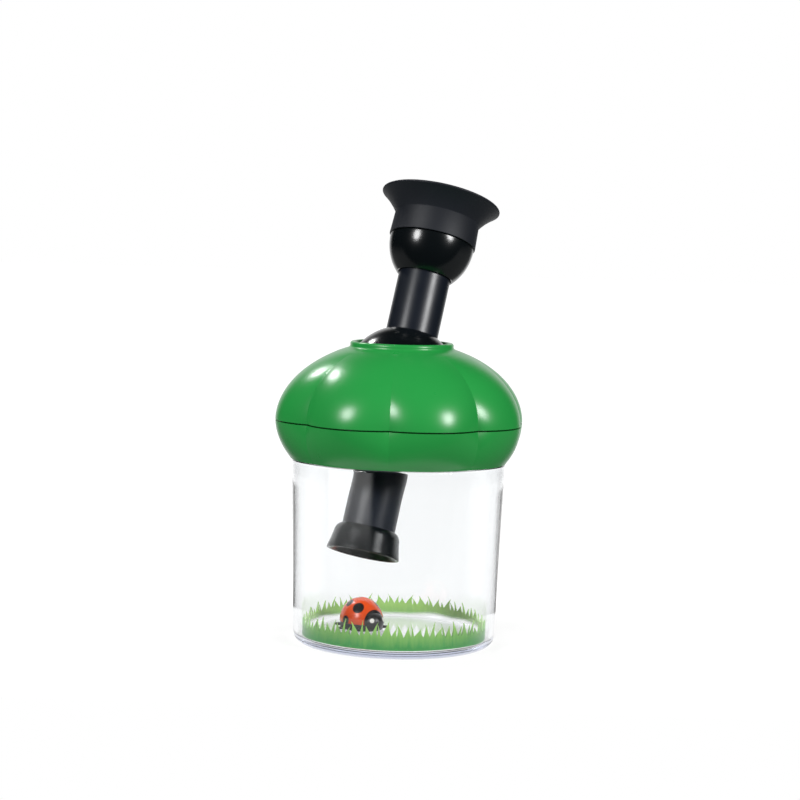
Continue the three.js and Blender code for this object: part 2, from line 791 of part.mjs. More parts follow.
// The ball and the scope lean together about the ball's centre
const leaning = new THREE.Group();
const leanAxis = new THREE.Vector3(-Math.sin(leanDirection * degree), Math.cos(leanDirection * degree), 0);
leaning.position.set(0, 0, pivotHeight);
leaning.quaternion.setFromAxisAngle(leanAxis, leanAngle * degree);
viewer.add(leaning);

addPiece(leaning, "ball_upper_half", ballUpperGeometry(), plastic(glossBlack, 0.1));
addPiece(leaning, "ball_lower_half", ballLowerGeometry(), plastic(glossBlack, 0.1));
addPiece(leaning, "tube_friction_ring", frictionRingGeometry(), plastic(rubberBlack, 0.9));
addPiece(leaning, "scope_tube", tubeGeometry(), plastic(tubeBlack, 0.3));
addPiece(leaning, "eyepiece_housing", housingGeometry(), plastic(glossBlack, 0.1));
addPiece(leaning, "eyecup", eyecupGeometry(), plastic(rubberBlack, 0.8));

const lensBottom = housingLedgeTop + fitGap;
const lensTop = lensBottom + lensEdge;
addPiece(
  leaning,
  "eyepiece_lens",
  lensGeometry(eyepieceLensRadius, lensRim, lensBottom, lensEdge, lensBulge),
  clear(0xffffff, 0.3),
);
addPiece(
  leaning,
  "eyepiece_lens_ring",
  spacerGeometry(eyepieceLensRadius, eyepieceLensRadius - lensRim, lensTop + fitGap, lensRingHeight),
  plastic(glossBlack, 0.4),
);
addPiece(
  leaning,
  "field_stop",
  spacerGeometry(objectiveRadius, fieldStopRadius, fieldStopHeight, fieldStopThickness),
  plastic(glossBlack, 0.8),
);
addPiece(leaning, "objective_hood", hoodGeometry(), plastic(tubeBlack, 0.35));

const objectiveRingBottom = -tubeBottom + fitGap;
const objectiveLensBottom = objectiveRingBottom + objectiveRingHeight + fitGap;
addPiece(
  leaning,
  "objective_lens_ring",
  spacerGeometry(
    objectiveRadius,
    objectiveRadius - objectiveRingWall,
    objectiveRingBottom,
    objectiveRingHeight,
  ),
  plastic(glossBlack, 0.4),
);
addPiece(
  leaning,
  "objective_lens",
  lensGeometry(
    objectiveRadius,
    objectiveRingWall,
    objectiveLensBottom,
    objectiveLensEdge,
    objectiveLensBulge,
  ),
  clear(0xffffff, 0.3),
);

export default viewer;
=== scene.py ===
"""Dresses a toy bug viewer: a clear jar under a lobed green cap, and a viewing scope that slides
through a ball in the cap's collar, over a strip of grass and a toy ladybird.

Metres and +Z up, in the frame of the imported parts. The front is -Y.
"""

import json
import math

import bmesh
import bpy
from mathutils import Matrix, Vector


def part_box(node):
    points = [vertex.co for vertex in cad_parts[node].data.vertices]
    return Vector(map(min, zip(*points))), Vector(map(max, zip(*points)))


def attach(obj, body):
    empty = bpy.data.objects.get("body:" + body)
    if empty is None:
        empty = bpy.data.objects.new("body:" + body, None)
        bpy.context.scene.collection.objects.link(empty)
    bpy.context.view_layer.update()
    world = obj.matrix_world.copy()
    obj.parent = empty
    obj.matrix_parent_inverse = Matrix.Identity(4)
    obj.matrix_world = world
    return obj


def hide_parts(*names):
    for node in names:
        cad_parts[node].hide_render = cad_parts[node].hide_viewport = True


bl_info = {
    "name": "Bug Viewer",
    "version": (1, 0, 0),
    "blender": (4, 5, 0),
    "location": "View3D > Sidebar > Bug Viewer",
    "description": "Adds the pieces, finishes and studio of a toy bug viewer",
    "category": "Add Mesh",
}

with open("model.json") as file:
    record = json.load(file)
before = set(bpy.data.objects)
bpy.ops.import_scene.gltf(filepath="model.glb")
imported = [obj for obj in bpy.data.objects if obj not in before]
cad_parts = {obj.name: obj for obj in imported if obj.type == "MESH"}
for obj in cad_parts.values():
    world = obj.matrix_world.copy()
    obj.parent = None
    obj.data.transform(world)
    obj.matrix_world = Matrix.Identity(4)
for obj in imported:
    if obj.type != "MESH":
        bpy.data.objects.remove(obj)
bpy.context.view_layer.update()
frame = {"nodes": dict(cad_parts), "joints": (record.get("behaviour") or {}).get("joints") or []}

MM = 0.001
TURN = 2 * math.pi
AROUND = 128  # steps in a full turn
LOBE_STEPS = 24  # steps in each lobe of the cap
BLADE_STEPS = 6  # steps from a blade's foot to its tip
LENS_STEPS = 10  # steps from a lens's middle to its rim
SCREWS = range(1, 5)
GAP = 0.3 * MM  # clearance between pieces that fit together
FINE, EDGE, SOFT = 0.2 * MM, 0.3 * MM, 0.4 * MM  # roundings of moulded edges

# Heights of the cap over its seam, in half heights of the dome
COLLAR_TOP = 0.9815
CREASE_TOP = 0.8615
RING_DROP = 0.483
# Ends of the seat ring under the ball's centre, in ball radii
SEAT_TOP = 0.2661
SEAT_BOTTOM = 0.6094

CAMERA_LENS = 96.05
CAMERA_PITCH, CAMERA_ROLL = math.radians(4.83), math.radians(1.68)
CAMERA_PLACE = (-0.16 * MM, -861.1 * MM, 171.5 * MM)
LAMP_DISTANCE = 1.1
LAMP_AIM = Vector((0, 0, 100 * MM))
# The studio paper: half its width, where its front edge is, and how far it lies under the toy
PAPER_HALF = 3
PAPER_FRONT = -120 * MM
PAPER_DROP = 0.2 * MM

# Bounces after which a ray is caught in a clear wall, and walls that it passes before it has been
# inside the jar
CAUGHT_DEPTH = 5.5
CHAMBER_DEPTH = 2.5

JOINTS = {joint["name"]: joint for joint in frame["joints"]}
PIVOT = Vector(JOINTS["scope_tilt"]["pos_m"])
AXIS = Vector(JOINTS["focus_slide"]["axis"]).normalized()
LEAN = Matrix.Translation(PIVOT) @ Vector((0, 0, 1)).rotation_difference(AXIS).to_matrix().to_4x4()


# Colours and property helpers


def linear(code):
    """An sRGB hex colour as the linear RGBA that the shaders work in."""
    parts = [int(code[i : i + 2], 16) / 255 for i in (1, 3, 5)]
    return (*(c / 12.92 if c <= 0.04045 else ((c + 0.055) / 1.055) ** 2.4 for c in parts), 1.0)


WHITE = linear("#ffffff")


def number(name, description, default, **kind):
    """A number that the user can set."""
    return bpy.props.FloatProperty(name=name, description=description, default=default, **kind)


def length(name, description, millimetres):
    """A length that the user can set, in metres."""
    return number(name, description, millimetres * MM, min=0, unit="LENGTH", precision=4)


def colour(name, description, code):
    """A colour that the user can set."""
    return bpy.props.FloatVectorProperty(
        name=name, description=description, default=linear(code), size=4, min=0, max=1, subtype="COLOR"
    )


class JarSettings(bpy.types.PropertyGroup):
    """Sizes and tint of the clear jar."""

    foot_radius: length("Foot Radius", "Radius of the jar just above its rounded foot", 41)
    shoulder_radius: length("Shoulder Radius", "Radius of the jar under the cap", 43.2)
    shoulder_height: length("Shoulder Height", "Height at which the neck begins", 74.4)
    neck_step: length("Neck Step", "How far the neck is set in from the shoulder", 1.2)
    wall: length("Wall", "Thickness of the jar's wall", 1.8)
    neck_wall: length("Neck Wall", "Thickness of the wall inside the cap", 1.4)
    floor: length("Floor", "Thickness of the jar's floor", 3)
    foot_rounding: length("Foot Rounding", "Rounding of the lower outer edge", 3.5)
    tint: colour("Tint", "Colour that the clear plastic takes on along a thick edge", "#dde2f2")


class CapSettings(bpy.types.PropertyGroup):
    """Sizes and colour of the lobed cap."""

    radius: length("Radius", "Radius of the cap at its seam", 50)
    half_height: length("Half Height", "Height of the dome's ellipse over the seam", 32.5)
    wall: length("Wall", "Thickness of the shells", 2.2)
    seam_gap: length("Seam Gap", "Width of the dark line between the two shells", 0.6)
    lobe_depth: length("Lobe Depth", "Depth of the creases at the seam", 4)
    lobes: bpy.props.IntProperty(name="Lobes", description="Number of lobes", default=8, min=3)
    crease: number("First Crease", "Azimuth of one crease, to the right", math.radians(-50), subtype="ANGLE")
    collar_radius: length("Collar Radius", "Inner radius of the collar round the ball", 18.7)
    collar_wall: length("Collar Wall", "Thickness of the collar", 2.2)
    green: colour("Green", "Colour of the cap", "#229240")


class BallSettings(bpy.types.PropertyGroup):
    """Sizes and colour of the swivelling ball and its seat."""

    radius: length("Radius", "Radius of the ball", 23.3)
    wall: length("Wall", "Thickness of the ball's shell", 2.4)
    black: colour("Black", "Colour of the polished ball, eyepiece housing and hood", "#090d0f")


class ScopeSettings(bpy.types.PropertyGroup):
    """Sizes and colours of the viewing scope, measured along its axis from the ball's centre."""

    tube_radius: length("Tube Radius", "Outer radius of the tube", 10.65)
    tube_wall: length("Tube Wall", "Thickness of the tube's wall", 1.6)
    tube_top: length("Tube Top", "Upper end of the tube", 55)
    tube_bottom: length("Tube Bottom", "Lower end of the tube, below the ball's centre", 66)
    housing_radius: length("Housing Radius", "Largest radius of the eyepiece housing", 17.4)
    housing_equator: length("Housing Equator", "Height of the housing's widest level", 60.4)
    housing_drop: length("Housing Drop", "Half height of the housing's ellipse", 19.8)
    rim: length("Housing Rim", "Height of the rim that the eyecup grips", 70.6)
    eyecup_rim: length("Eyecup Rim", "Height of the eyecup's rim", 78.8)
    eyecup_radius: length("Eyecup Radius", "Radius of the eyecup's rim", 24.6)
    hood_bottom: length("Hood Bottom", "Lower end of the hood, below the ball's centre", 71.5)
    hood_radius: length("Hood Radius", "Radius of the hood's rim", 14.6)
    satin: colour("Satin Black", "Colour of the tube, its inner rings and the ball's retainer", "#0e141e")
    rubber: colour("Rubber", "Colour of the eyecup", "#0f141d")


class GardenSettings(bpy.types.PropertyGroup):
    """Sizes and colours of the grass strip and the ladybird."""

    grass_radius: length("Grass Radius", "Radius that the strip is bent to", 37.45)
    grass_front: length("Front Height", "Height of the strip at the front", 12.2)
    grass_back: length("Back Height", "Height of the strip at the back", 8.8)
    grass_body: length("Front Sward", "Height of the solid green at the front, under the blades", 5.6)
    blade_pitch: length("Blade Pitch", "Distance from blade to blade", 2.6)
    grass_dark: colour("Grass Root", "Green at the foot of the strip", "#1f9a36")
    grass_light: colour("Grass Tip", "Green at the blades' tips", "#a6dc62")
    beetle_length: length("Ladybird Length", "Length over the wing cases", 20)
    beetle_width: length("Ladybird Width", "Width over the wing cases", 17.4)
    beetle_height: length("Ladybird Height", "Height over the floor", 12.2)
    beetle_x: number("Ladybird X", "Place of the ladybird, to the right", -13.5 * MM, unit="LENGTH")
    beetle_y: number("Ladybird Y", "Place of the ladybird, to the back", 9 * MM, unit="LENGTH")
    heading: number("Heading", "Which way the ladybird faces", math.radians(38), subtype="ANGLE")
    orange: colour("Wing Cases", "Colour of the wing cases", "#e04a02")


class StudioSettings(bpy.types.PropertyGroup):
    """Strength of the studio's lights."""

    left: number("Left Light", "Front left softbox", 7.2, unit="POWER")
    right: number("Right Light", "Front right softbox", 8.2, unit="POWER")
    back: number("Back Light", "Small light behind", 3, unit="POWER")
    card: number("Side Card", "Card mirrored by the jar", 0.06, unit="POWER")
    fill: number("Fill", "Plain light from all round", 0.4, subtype="FACTOR")


# Nodes and materials


def add(tree, kind, inputs=None, **settings):
    """Adds a shader node with its settings, and gives each named input a value, or a link from a
    socket or from a node's first output."""
    node = tree.nodes.new("ShaderNode" + kind)
    for key, value in settings.items():
        setattr(node, key, value)
    for key, value in (inputs or {}).items():
        if isinstance(value, bpy.types.Node):
            value = value.outputs[0]
        if isinstance(value, bpy.types.NodeSocket):
            tree.links.new(value, node.inputs[key])
        else:
            node.inputs[key].default_value = value
    return node


def surface_finish(fill):
    """Turns a function that builds shaders on Object coordinates into one that gives the material
    of its name, which is made the first time that it is asked for."""

    def finish(*settings):
        material = bpy.data.materials.get(fill.__name__)
        if material is None:
            material = bpy.data.materials.new(fill.__name__)
            material.use_nodes = True
            tree = material.node_tree
            tree.nodes.clear()
            coordinates = add(tree, "TexCoord").outputs["Object"]
            add(tree, "OutputMaterial", fill(tree, coordinates, *settings))
        return material

    return finish


def mottled(tree, coordinates, size, low, high):
    """A slow drift between two colours, in patches of a real size in metres."""
    noise = add(tree, "TexNoise", {"Vector": coordinates, "Scale": 1 / size, "Detail": 3.0})
    return add(tree, "Mix", {0: noise, 6: low, 7: high}, data_type="RGBA").outputs[2]


def uneven(tree, coordinates, size, low, high):
    """A number that drifts between two values, in patches of a real size in metres."""
    noise = add(tree, "TexNoise", {"Vector": coordinates, "Scale": 1 / size, "Detail": 4.0})
    return add(tree, "MapRange", {"Value": noise, "To Min": low, "To Max": high})


def grained(tree, coordinates, size, depth):
    """A bumped normal with a grain of a real size and depth in metres."""
    noise = add(tree, "TexNoise", {"Vector": coordinates, "Scale": 1 / size, "Detail": 5.0})
    return add(tree, "Bump", {"Height": noise, "Distance": depth, "Strength": 1.0})


def shade(colour_value, amount):
    """A colour made lighter or darker by a factor."""
    return (*(min(1.0, c * amount) for c in colour_value[:3]), 1.0)


@surface_finish
def green_abs_moulded(tree, coordinates, settings):
    """Injection-moulded ABS: a saturated green with a soft gloss and faint flow marks."""
    # The pigment drifts a little with the flow, over patches of some 35 mm, and the skin has faint
    # ripples some 3 mm apart
    pale = shade(settings.green, 1.06)
    return {"Surface": add(tree, "BsdfPrincipled", {
        "Base Color": mottled(tree, coordinates, 35 * MM, shade(settings.green, 0.93), pale),
        "Roughness": uneven(tree, coordinates, 9 * MM, 0.26, 0.31),
        "IOR": 1.54,
        "Normal": grained(tree, coordinates, 3 * MM, 0.006 * MM),
    })}


@surface_finish
def black_abs_polished(tree, coordinates, settings):
    """Polished black ABS: nearly mirror smooth, with deep black between crisp highlights."""
    # The polished mould leaves shallow waves some 8 mm apart, and handling dulls patches of 5 mm
    return {"Surface": add(tree, "BsdfPrincipled", {
        "Base Color": mottled(tree, coordinates, 20 * MM, settings.black[:], shade(settings.black, 1.3)),
        "Roughness": uneven(tree, coordinates, 5 * MM, 0.17, 0.22),
        "IOR": 1.53,
        "Normal": grained(tree, coordinates, 8 * MM, 0.01 * MM),
    })}


@surface_finish
def black_abs_satin(tree, coordinates, settings):
    """Black ABS from a fine-blasted mould: satin, so that lights run out to long soft streaks."""
    # The blasted grain is about 0.1 mm; it is drawn at 1.4 mm so that it shows
    return {"Surface": add(tree, "BsdfPrincipled", {
        "Base Color": mottled(tree, coordinates, 15 * MM, settings.satin[:], shade(settings.satin, 1.25)),
        "Roughness": uneven(tree, coordinates, 4 * MM, 0.3, 0.38),
        "IOR": 1.53,
        "Normal": grained(tree, coordinates, 1.4 * MM, 0.0012 * MM),
    })}


@surface_finish
def rubber_matt(tree, coordinates, settings):
    """Moulded thermoplastic rubber: matt blue black with a fine grain."""
    # The real grain is about 0.1 mm; it is drawn at 0.5 mm so that it shows
    return {"Surface": add(tree, "BsdfPrincipled", {
        "Base Color": mottled(tree, coordinates, 12 * MM, settings.rubber[:], shade(settings.rubber, 1.3)),
        "Roughness": uneven(tree, coordinates, 5 * MM, 0.54, 0.62),
        "IOR": 1.48,
        "Normal": grained(tree, coordinates, 0.5 * MM, 0.015 * MM),
    })}


def see_through(tree, shader):
    """Lets lamps and soft light straight through a clear piece, so that it isn't dark inside, and
    rays that are caught in its wall, which would end black after many bounces."""
    rays = add(tree, "LightPath")
    either = add(tree, "Math", {
        0: rays.outputs["Is Shadow Ray"], 1: rays.outputs["Is Diffuse Ray"],
    }, operation="MAXIMUM")
    caught = add(tree, "Math", {
        0: rays.outputs["Ray Depth"], 1: CAUGHT_DEPTH,
    }, operation="GREATER_THAN")
    either = add(tree, "Math", {0: either, 1: caught}, operation="MAXIMUM")
    clear = add(tree, "BsdfTransparent", {"Color": WHITE})
    return add(tree, "MixShader", {0: either, 1: shader, 2: clear})


@surface_finish
def styrene_clear_moulded(tree, coordinates, settings):
    """Crystal styrene: water-clear in the middle, grey-blue where the eye looks along the wall."""
    # A polished mould leaves long shallow waves, some 25 mm apart, and no grain
    shader = add(tree, "BsdfPrincipled", {
        "Base Color": linear("#feffff"),
        "Roughness": uneven(tree, coordinates, 12 * MM, 0.0, 0.02),
        "IOR": 1.55,
        "Transmission Weight": 1.0,
        "Normal": grained(tree, coordinates, 25 * MM, 0.02 * MM),
    })
    haze = add(tree, "VolumeAbsorption", {"Color": settings.tint[:], "Density": 22.0})
    return {"Surface": see_through(tree, shader), "Volume": haze}


@surface_finish
def acrylic_lens(tree, coordinates):
    """Optical acrylic: clear, smooth and without a tint."""
    shader = add(tree, "BsdfPrincipled", {
        "Base Color": WHITE,
        "Roughness": uneven(tree, coordinates, 4 * MM, 0.0, 0.01),
        "IOR": 1.49,
        "Transmission Weight": 1.0,
    })
    return {"Surface": see_through(tree, shader)}


@surface_finish
def nylon_moulded(tree, coordinates):
    """Moulded natural nylon: a dull, slightly milky grey that slides well."""
    # Its grain is about 0.1 mm; it is drawn at 0.8 mm so that it shows
    return {"Surface": add(tree, "BsdfPrincipled", {
        "Base Color": mottled(tree, coordinates, 8 * MM, linear("#949798"), linear("#a3a6a7")),
        "Roughness": uneven(tree, coordinates, 3 * MM, 0.42, 0.55),
        "IOR": 1.53,
        "Subsurface Weight": 0.1,
        "Subsurface Scale": 1 * MM,
        "Normal": grained(tree, coordinates, 0.8 * MM, 0.01 * MM),
    })}


@surface_finish
def steel_zinc_plated(tree, coordinates):
    """Zinc-plated steel: bright and slightly cloudy, as small screws are."""
    # The clouds are some 1.5 mm wide, and the fine crystals are drawn at 0.4 mm so that they show
    return {"Surface": add(tree, "BsdfPrincipled", {
        "Base Color": mottled(tree, coordinates, 1.5 * MM, linear("#b3b9be"), linear("#cdd1d3")),
        "Metallic": 1.0,
        "Roughness": uneven(tree, coordinates, 0.8 * MM, 0.24, 0.4),
        "Normal": grained(tree, coordinates, 0.4 * MM, 0.006 * MM),
    })}


@surface_finish
def printed_film_grass(tree, coordinates, settings):
    """Die-cut printed film: dark green at the foot, yellow-green at the tips, with painted light that makes
    the back lighter, and clear behind.
    """
    parts = add(tree, "SeparateXYZ", {0: coordinates})
    # The print runs from the root's green to the tip's within 9 mm, in streaks 1.2 mm wide
    streaks = add(tree, "TexNoise", {
        "Vector": add(tree, "Mapping", {"Vector": coordinates, "Scale": (1, 1, 0.12)}),
        "Scale": 1 / (1.2 * MM),
        "Detail": 2.0,
    })
    height = parts.outputs["Z"]
    wander = add(tree, "Math", {0: streaks, 1: 5 * MM, 2: height}, operation="MULTIPLY_ADD")
    front = add(tree, "MapRange", {
        "Value": parts.outputs["Y"], "From Min": 2 * MM, "From Max": -3 * MM, "To Max": 0.85,
    })
    # The strip is lower at the back, and so is the change of its greens. The change lies lower at the back
    # than the drop in height asks for, which is painted light: it makes the back's greens lighter where the
    # strip's inner face is in shade
    wander = add(tree, "Math", {0: front, 1: -7 * MM, 2: wander}, operation="MULTIPLY_ADD")
    rise = add(tree, "MapRange", {"Value": wander, "From Min": 1 * MM, "From Max": 10 * MM})
    # The strip's print, with painted light that lightens its back part
    print_and_painted_light_colour = add(tree, "Mix", {
        0: rise, 6: settings.grass_dark[:], 7: settings.grass_light[:],
    }, data_type="RGBA")
    # Behind the middle the print is thinner, so that light shines through it from behind, and it
    # fades out downwards along a wavy line
    waves = add(tree, "TexNoise", {"Vector": coordinates, "Scale": 1 / (16 * MM), "Detail": 0.0})
    foot = add(tree, "Math", {0: waves, 1: -3.4 * MM, 2: height}, operation="MULTIPLY_ADD")
    shown = add(tree, "MapRange", {
        "Value": foot, "From Min": 1.9 * MM, "From Max": 4.1 * MM, "To Max": 0.7,
    }, interpolation_type="SMOOTHSTEP")
    alpha = add(tree, "Math", {0: shown, 1: front}, operation="MAXIMUM")
    return {"Surface": add(tree, "BsdfPrincipled", {
        "Base Color": print_and_painted_light_colour.outputs[2],
        "Roughness": uneven(tree, coordinates, 3 * MM, 0.4, 0.5),
        "IOR": 1.5,
        "Alpha": alpha,
    })}


def spots(tree, coordinates, marks):
    """A mask, 1 inside each (x, y, z, radius) mark and 0 outside, with a soft printed edge."""
    mask = None
    for x, y, z, radius in marks:
        away = add(tree, "VectorMath", {0: coordinates, 1: (x, y, z)}, operation="DISTANCE")
        inside = add(tree, "MapRange", {
            "Value": away.outputs["Value"], "From Min": radius, "From Max": radius - 0.25 * MM,
        })
        if mask is not None:
            inside = add(tree, "Math", {0: mask, 1: inside}, operation="MAXIMUM")
        mask = inside
    return mask


def beetle_coordinates(tree, coordinates, settings):
    """Object coordinates moved to the ladybird's own middle, with its head towards -Y."""
    return add(tree, "Mapping", {
        "Vector": coordinates,
        "Location": (settings.beetle_x, settings.beetle_y, 0),
        "Rotation": (0, 0, settings.heading),
    }, vector_type="TEXTURE")


@surface_finish
def lacquer_orange_spotted(tree, coordinates, settings):
    """Lacquered wing cases: a glossy orange red with black dots, and painted light and shade that makes them
    darker low down and lighter towards the top.
    """
    own = beetle_coordinates(tree, coordinates, settings)
    half = settings.beetle_width / 2
    top = settings.beetle_height + 3 * MM
    marks = [
        (side * half * 0.52, settings.beetle_length * along, top * up, size * MM)
        for side in (-1, 1)
        for along, up, size in ((-0.2, 0.78, 2.6), (0.08, 0.84, 2.2), (0.32, 0.6, 2.2))
    ]
    marks.append((0, -0.5 * settings.beetle_length, 7 * MM, 5.2 * MM))
    marks += [(side * half * 0.92, -0.5 * MM, top * 0.46, 2.1 * MM) for side in (-1, 1)]
    height = add(tree, "SeparateXYZ", {0: own}).outputs["Z"]
    # Painted light and shade: the orange runs from 0.72 of itself low down to 1.12 of itself on top
    painted_top_light = add(tree, "MapRange", {"Value": height, "From Min": 5 * MM, "From Max": 14 * MM})
    red = add(tree, "Mix", {
        0: painted_top_light, 6: shade(settings.orange, 0.72), 7: shade(settings.orange, 1.12),
    }, data_type="RGBA")
    spotted = add(tree, "Mix", {
        0: spots(tree, own, marks), 6: red.outputs[2], 7: linear("#0e0c0b"),
    }, data_type="RGBA")
    return {"Surface": add(tree, "BsdfPrincipled", {
        "Base Color": spotted.outputs[2],
        "Roughness": uneven(tree, coordinates, 2 * MM, 0.18, 0.26),
        "IOR": 1.5,
        "Coat Weight": 0.4,
        "Coat Roughness": 0.06,
    })}


@surface_finish
def black_plastic_ladybird(tree, coordinates, settings):
    """Glossy black plastic for the ladybird's head and legs, with two pale cheek marks."""
    own = beetle_coordinates(tree, coordinates, settings)
    marks = [(side * 3.1 * MM, -11.4 * MM, 8.2 * MM, 1.2 * MM) for side in (-1, 1)]
    marked = add(tree, "Mix", {
        0: spots(tree, own, marks), 6: linear("#131313"), 7: linear("#e9e6df"),
    }, data_type="RGBA")
    return {"Surface": add(tree, "BsdfPrincipled", {
        "Base Color": marked.outputs[2],
        "Roughness": uneven(tree, coordinates, 2 * MM, 0.25, 0.35),
        "IOR": 1.5,
    })}


# Mesh helpers


def arc(half_width, half_height, middle, start, end, steps):
    """Points on an ellipse about (0, middle), from one angle to another in radians."""
    angles = [start + (end - start) * i / steps for i in range(steps + 1)]
    return [(half_width * math.cos(a), middle + half_height * math.sin(a)) for a in angles]


def bend(start, control, end, steps):
    """Points along a curve from start to end, bent towards a control point."""
    points = []
    for i in range(steps + 1):
        t = i / steps
        a, b, c = (1 - t) ** 2, 2 * t * (1 - t), t * t
        points.append(tuple(a * p + b * q + c * r for p, q, r in zip(start, control, end)))
    return points


def turned(points, steps=AROUND):
    """A closed shell turned about Z from (radius, height) points, or (radius, height, rounding)
    points at corners. It starts and ends on the axis, or closes on itself."""
    bm = bmesh.new()
    verts = [bm.verts.new((point[0], 0, point[1])) for point in points]
    on_axis = points[0][0] == 0 and points[-1][0] == 0
    pairs = list(zip(verts, verts[1:])) if on_axis else list(zip(verts, verts[1:] + verts[:1]))
    for pair in pairs:
        bm.edges.new(pair)
    for vert, point in zip(verts, points):
        if len(point) == 3:
            bmesh.ops.bevel(
                bm, geom=[vert], offset=point[2], segments=5, profile=0.5, affect="VERTICES", material=-1
            )
    bmesh.ops.spin(
        bm, geom=bm.verts[:] + bm.edges[:], cent=(0, 0, 0), axis=(0, 0, 1), angle=TURN, steps=steps,
        use_merge=True,
    )
    bmesh.ops.remove_doubles(bm, verts=bm.verts, dist=0.001 * MM)
    bmesh.ops.recalc_face_normals(bm, faces=bm.faces)
    return bm


def ring(outer, inner, low, high, rounding=FINE):
    """A plain ring with rounded edges."""
    return turned([(r, z, rounding) for r, z in ((outer, low), (outer, high), (inner, high), (inner, low))])


def lens(radius, rim, low, edge, bulge):
    """A lens that bulges both ways inside a flat rim."""
    clear = radius - rim
    lower = [
        (clear * i / LENS_STEPS, low - bulge * (1 - (i / LENS_STEPS) ** 2))
        for i in range(LENS_STEPS + 1)
    ]
    upper = [(r, low + edge + low - z) for r, z in reversed(lower)]
    return turned([*lower, (radius, low, 0.1 * MM), (radius, low + edge, 0.1 * MM), *upper])


def settle(bm, name, material, body, node, sharp=35):
    """Makes a mesh a piece of the toy: smooth, riding on its body, standing for its CAD node."""
    mesh = bpy.data.meshes.new(name)
    bm.to_mesh(mesh)
    bm.free()
    mesh.polygons.foreach_set("use_smooth", [True] * len(mesh.polygons))
    mesh.set_sharp_from_angle(angle=math.radians(sharp))
    mesh.materials.append(material)
    piece = bpy.data.objects.new(name, mesh)
    bpy.context.scene.collection.objects.link(piece)
    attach(piece, body)
    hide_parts(node)


def dress(node, material):
    """Gives a CAD node that stays its material."""
    mesh = frame["nodes"][node].data
    mesh.materials.clear()
    mesh.materials.append(material)


# Operators, one for each piece or group of like pieces


class AddJar(bpy.types.Operator):
    """Add the clear jar"""

    bl_idname = "bug_viewer.jar"
    bl_label = "Jar"

    def execute(self, context):
        s = context.scene.bug_viewer_jar
        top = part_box("jar")[1].z
        neck = s.shoulder_radius - s.neck_step
        inner_foot = s.foot_radius - s.wall
        bm = turned([
            (0, 0),
            (s.foot_radius - 0.1 * MM, 0, s.foot_rounding),
            (s.shoulder_radius, s.shoulder_height, 0.8 * MM),
            (neck, s.shoulder_height, EDGE),
            (neck, top, 0.6 * MM),
            (neck - s.neck_wall, top, 0.6 * MM),
            (neck - s.neck_wall, s.shoulder_height, 3 * MM),
            (s.shoulder_radius - s.wall, s.shoulder_height - 8 * MM, 3 * MM),
            (inner_foot, s.floor, 1.2 * MM),
            (0, s.floor),
        ])
        settle(bm, "jar_clear", styrene_clear_moulded(s), "jar", "jar", 60)
        return {"FINISHED"}


def shape_lobes(bm, settings, seam, inner):
    """Swells the shell into lobes that meet in creases, deepest at the seam. They are gone at the
    collar, and a fifth as deep at the ring's lower edge."""
    panel = TURN / settings.lobes
    for vert in bm.verts:
        radius = math.hypot(vert.co.x, vert.co.y)
        if radius <= inner:
            continue
        rise = vert.co.z - seam
        reach = settings.half_height * (CREASE_TOP if rise > 0 else RING_DROP)
        left = max(0.0, 1 - abs(rise) / reach)
        depth = settings.lobe_depth * (left**0.7 if rise > 0 else 0.2 + 0.8 * left**1.6)
        turns = math.atan2(vert.co.y, vert.co.x) / panel
        whole = math.floor(turns + 1e-6)
        across = 2 * (turns - whole) - 1
        # The columns are drawn towards the creases, which keeps each crease crisp
        across = math.copysign(1 - (1 - min(1.0, abs(across))) ** 1.6, across)
        angle = (whole + (across + 1) / 2) * panel
        # The middle of a lobe stands out by 0.3 of the depth, and the crease lies in by the rest
        grown = radius + depth * (0.3 - across * across)
        vert.co.x, vert.co.y = grown * math.cos(angle), grown * math.sin(angle)
    turn = Matrix.Rotation(settings.crease - math.pi / 2, 4, "Z")
    bmesh.ops.transform(bm, matrix=turn, verts=bm.verts)


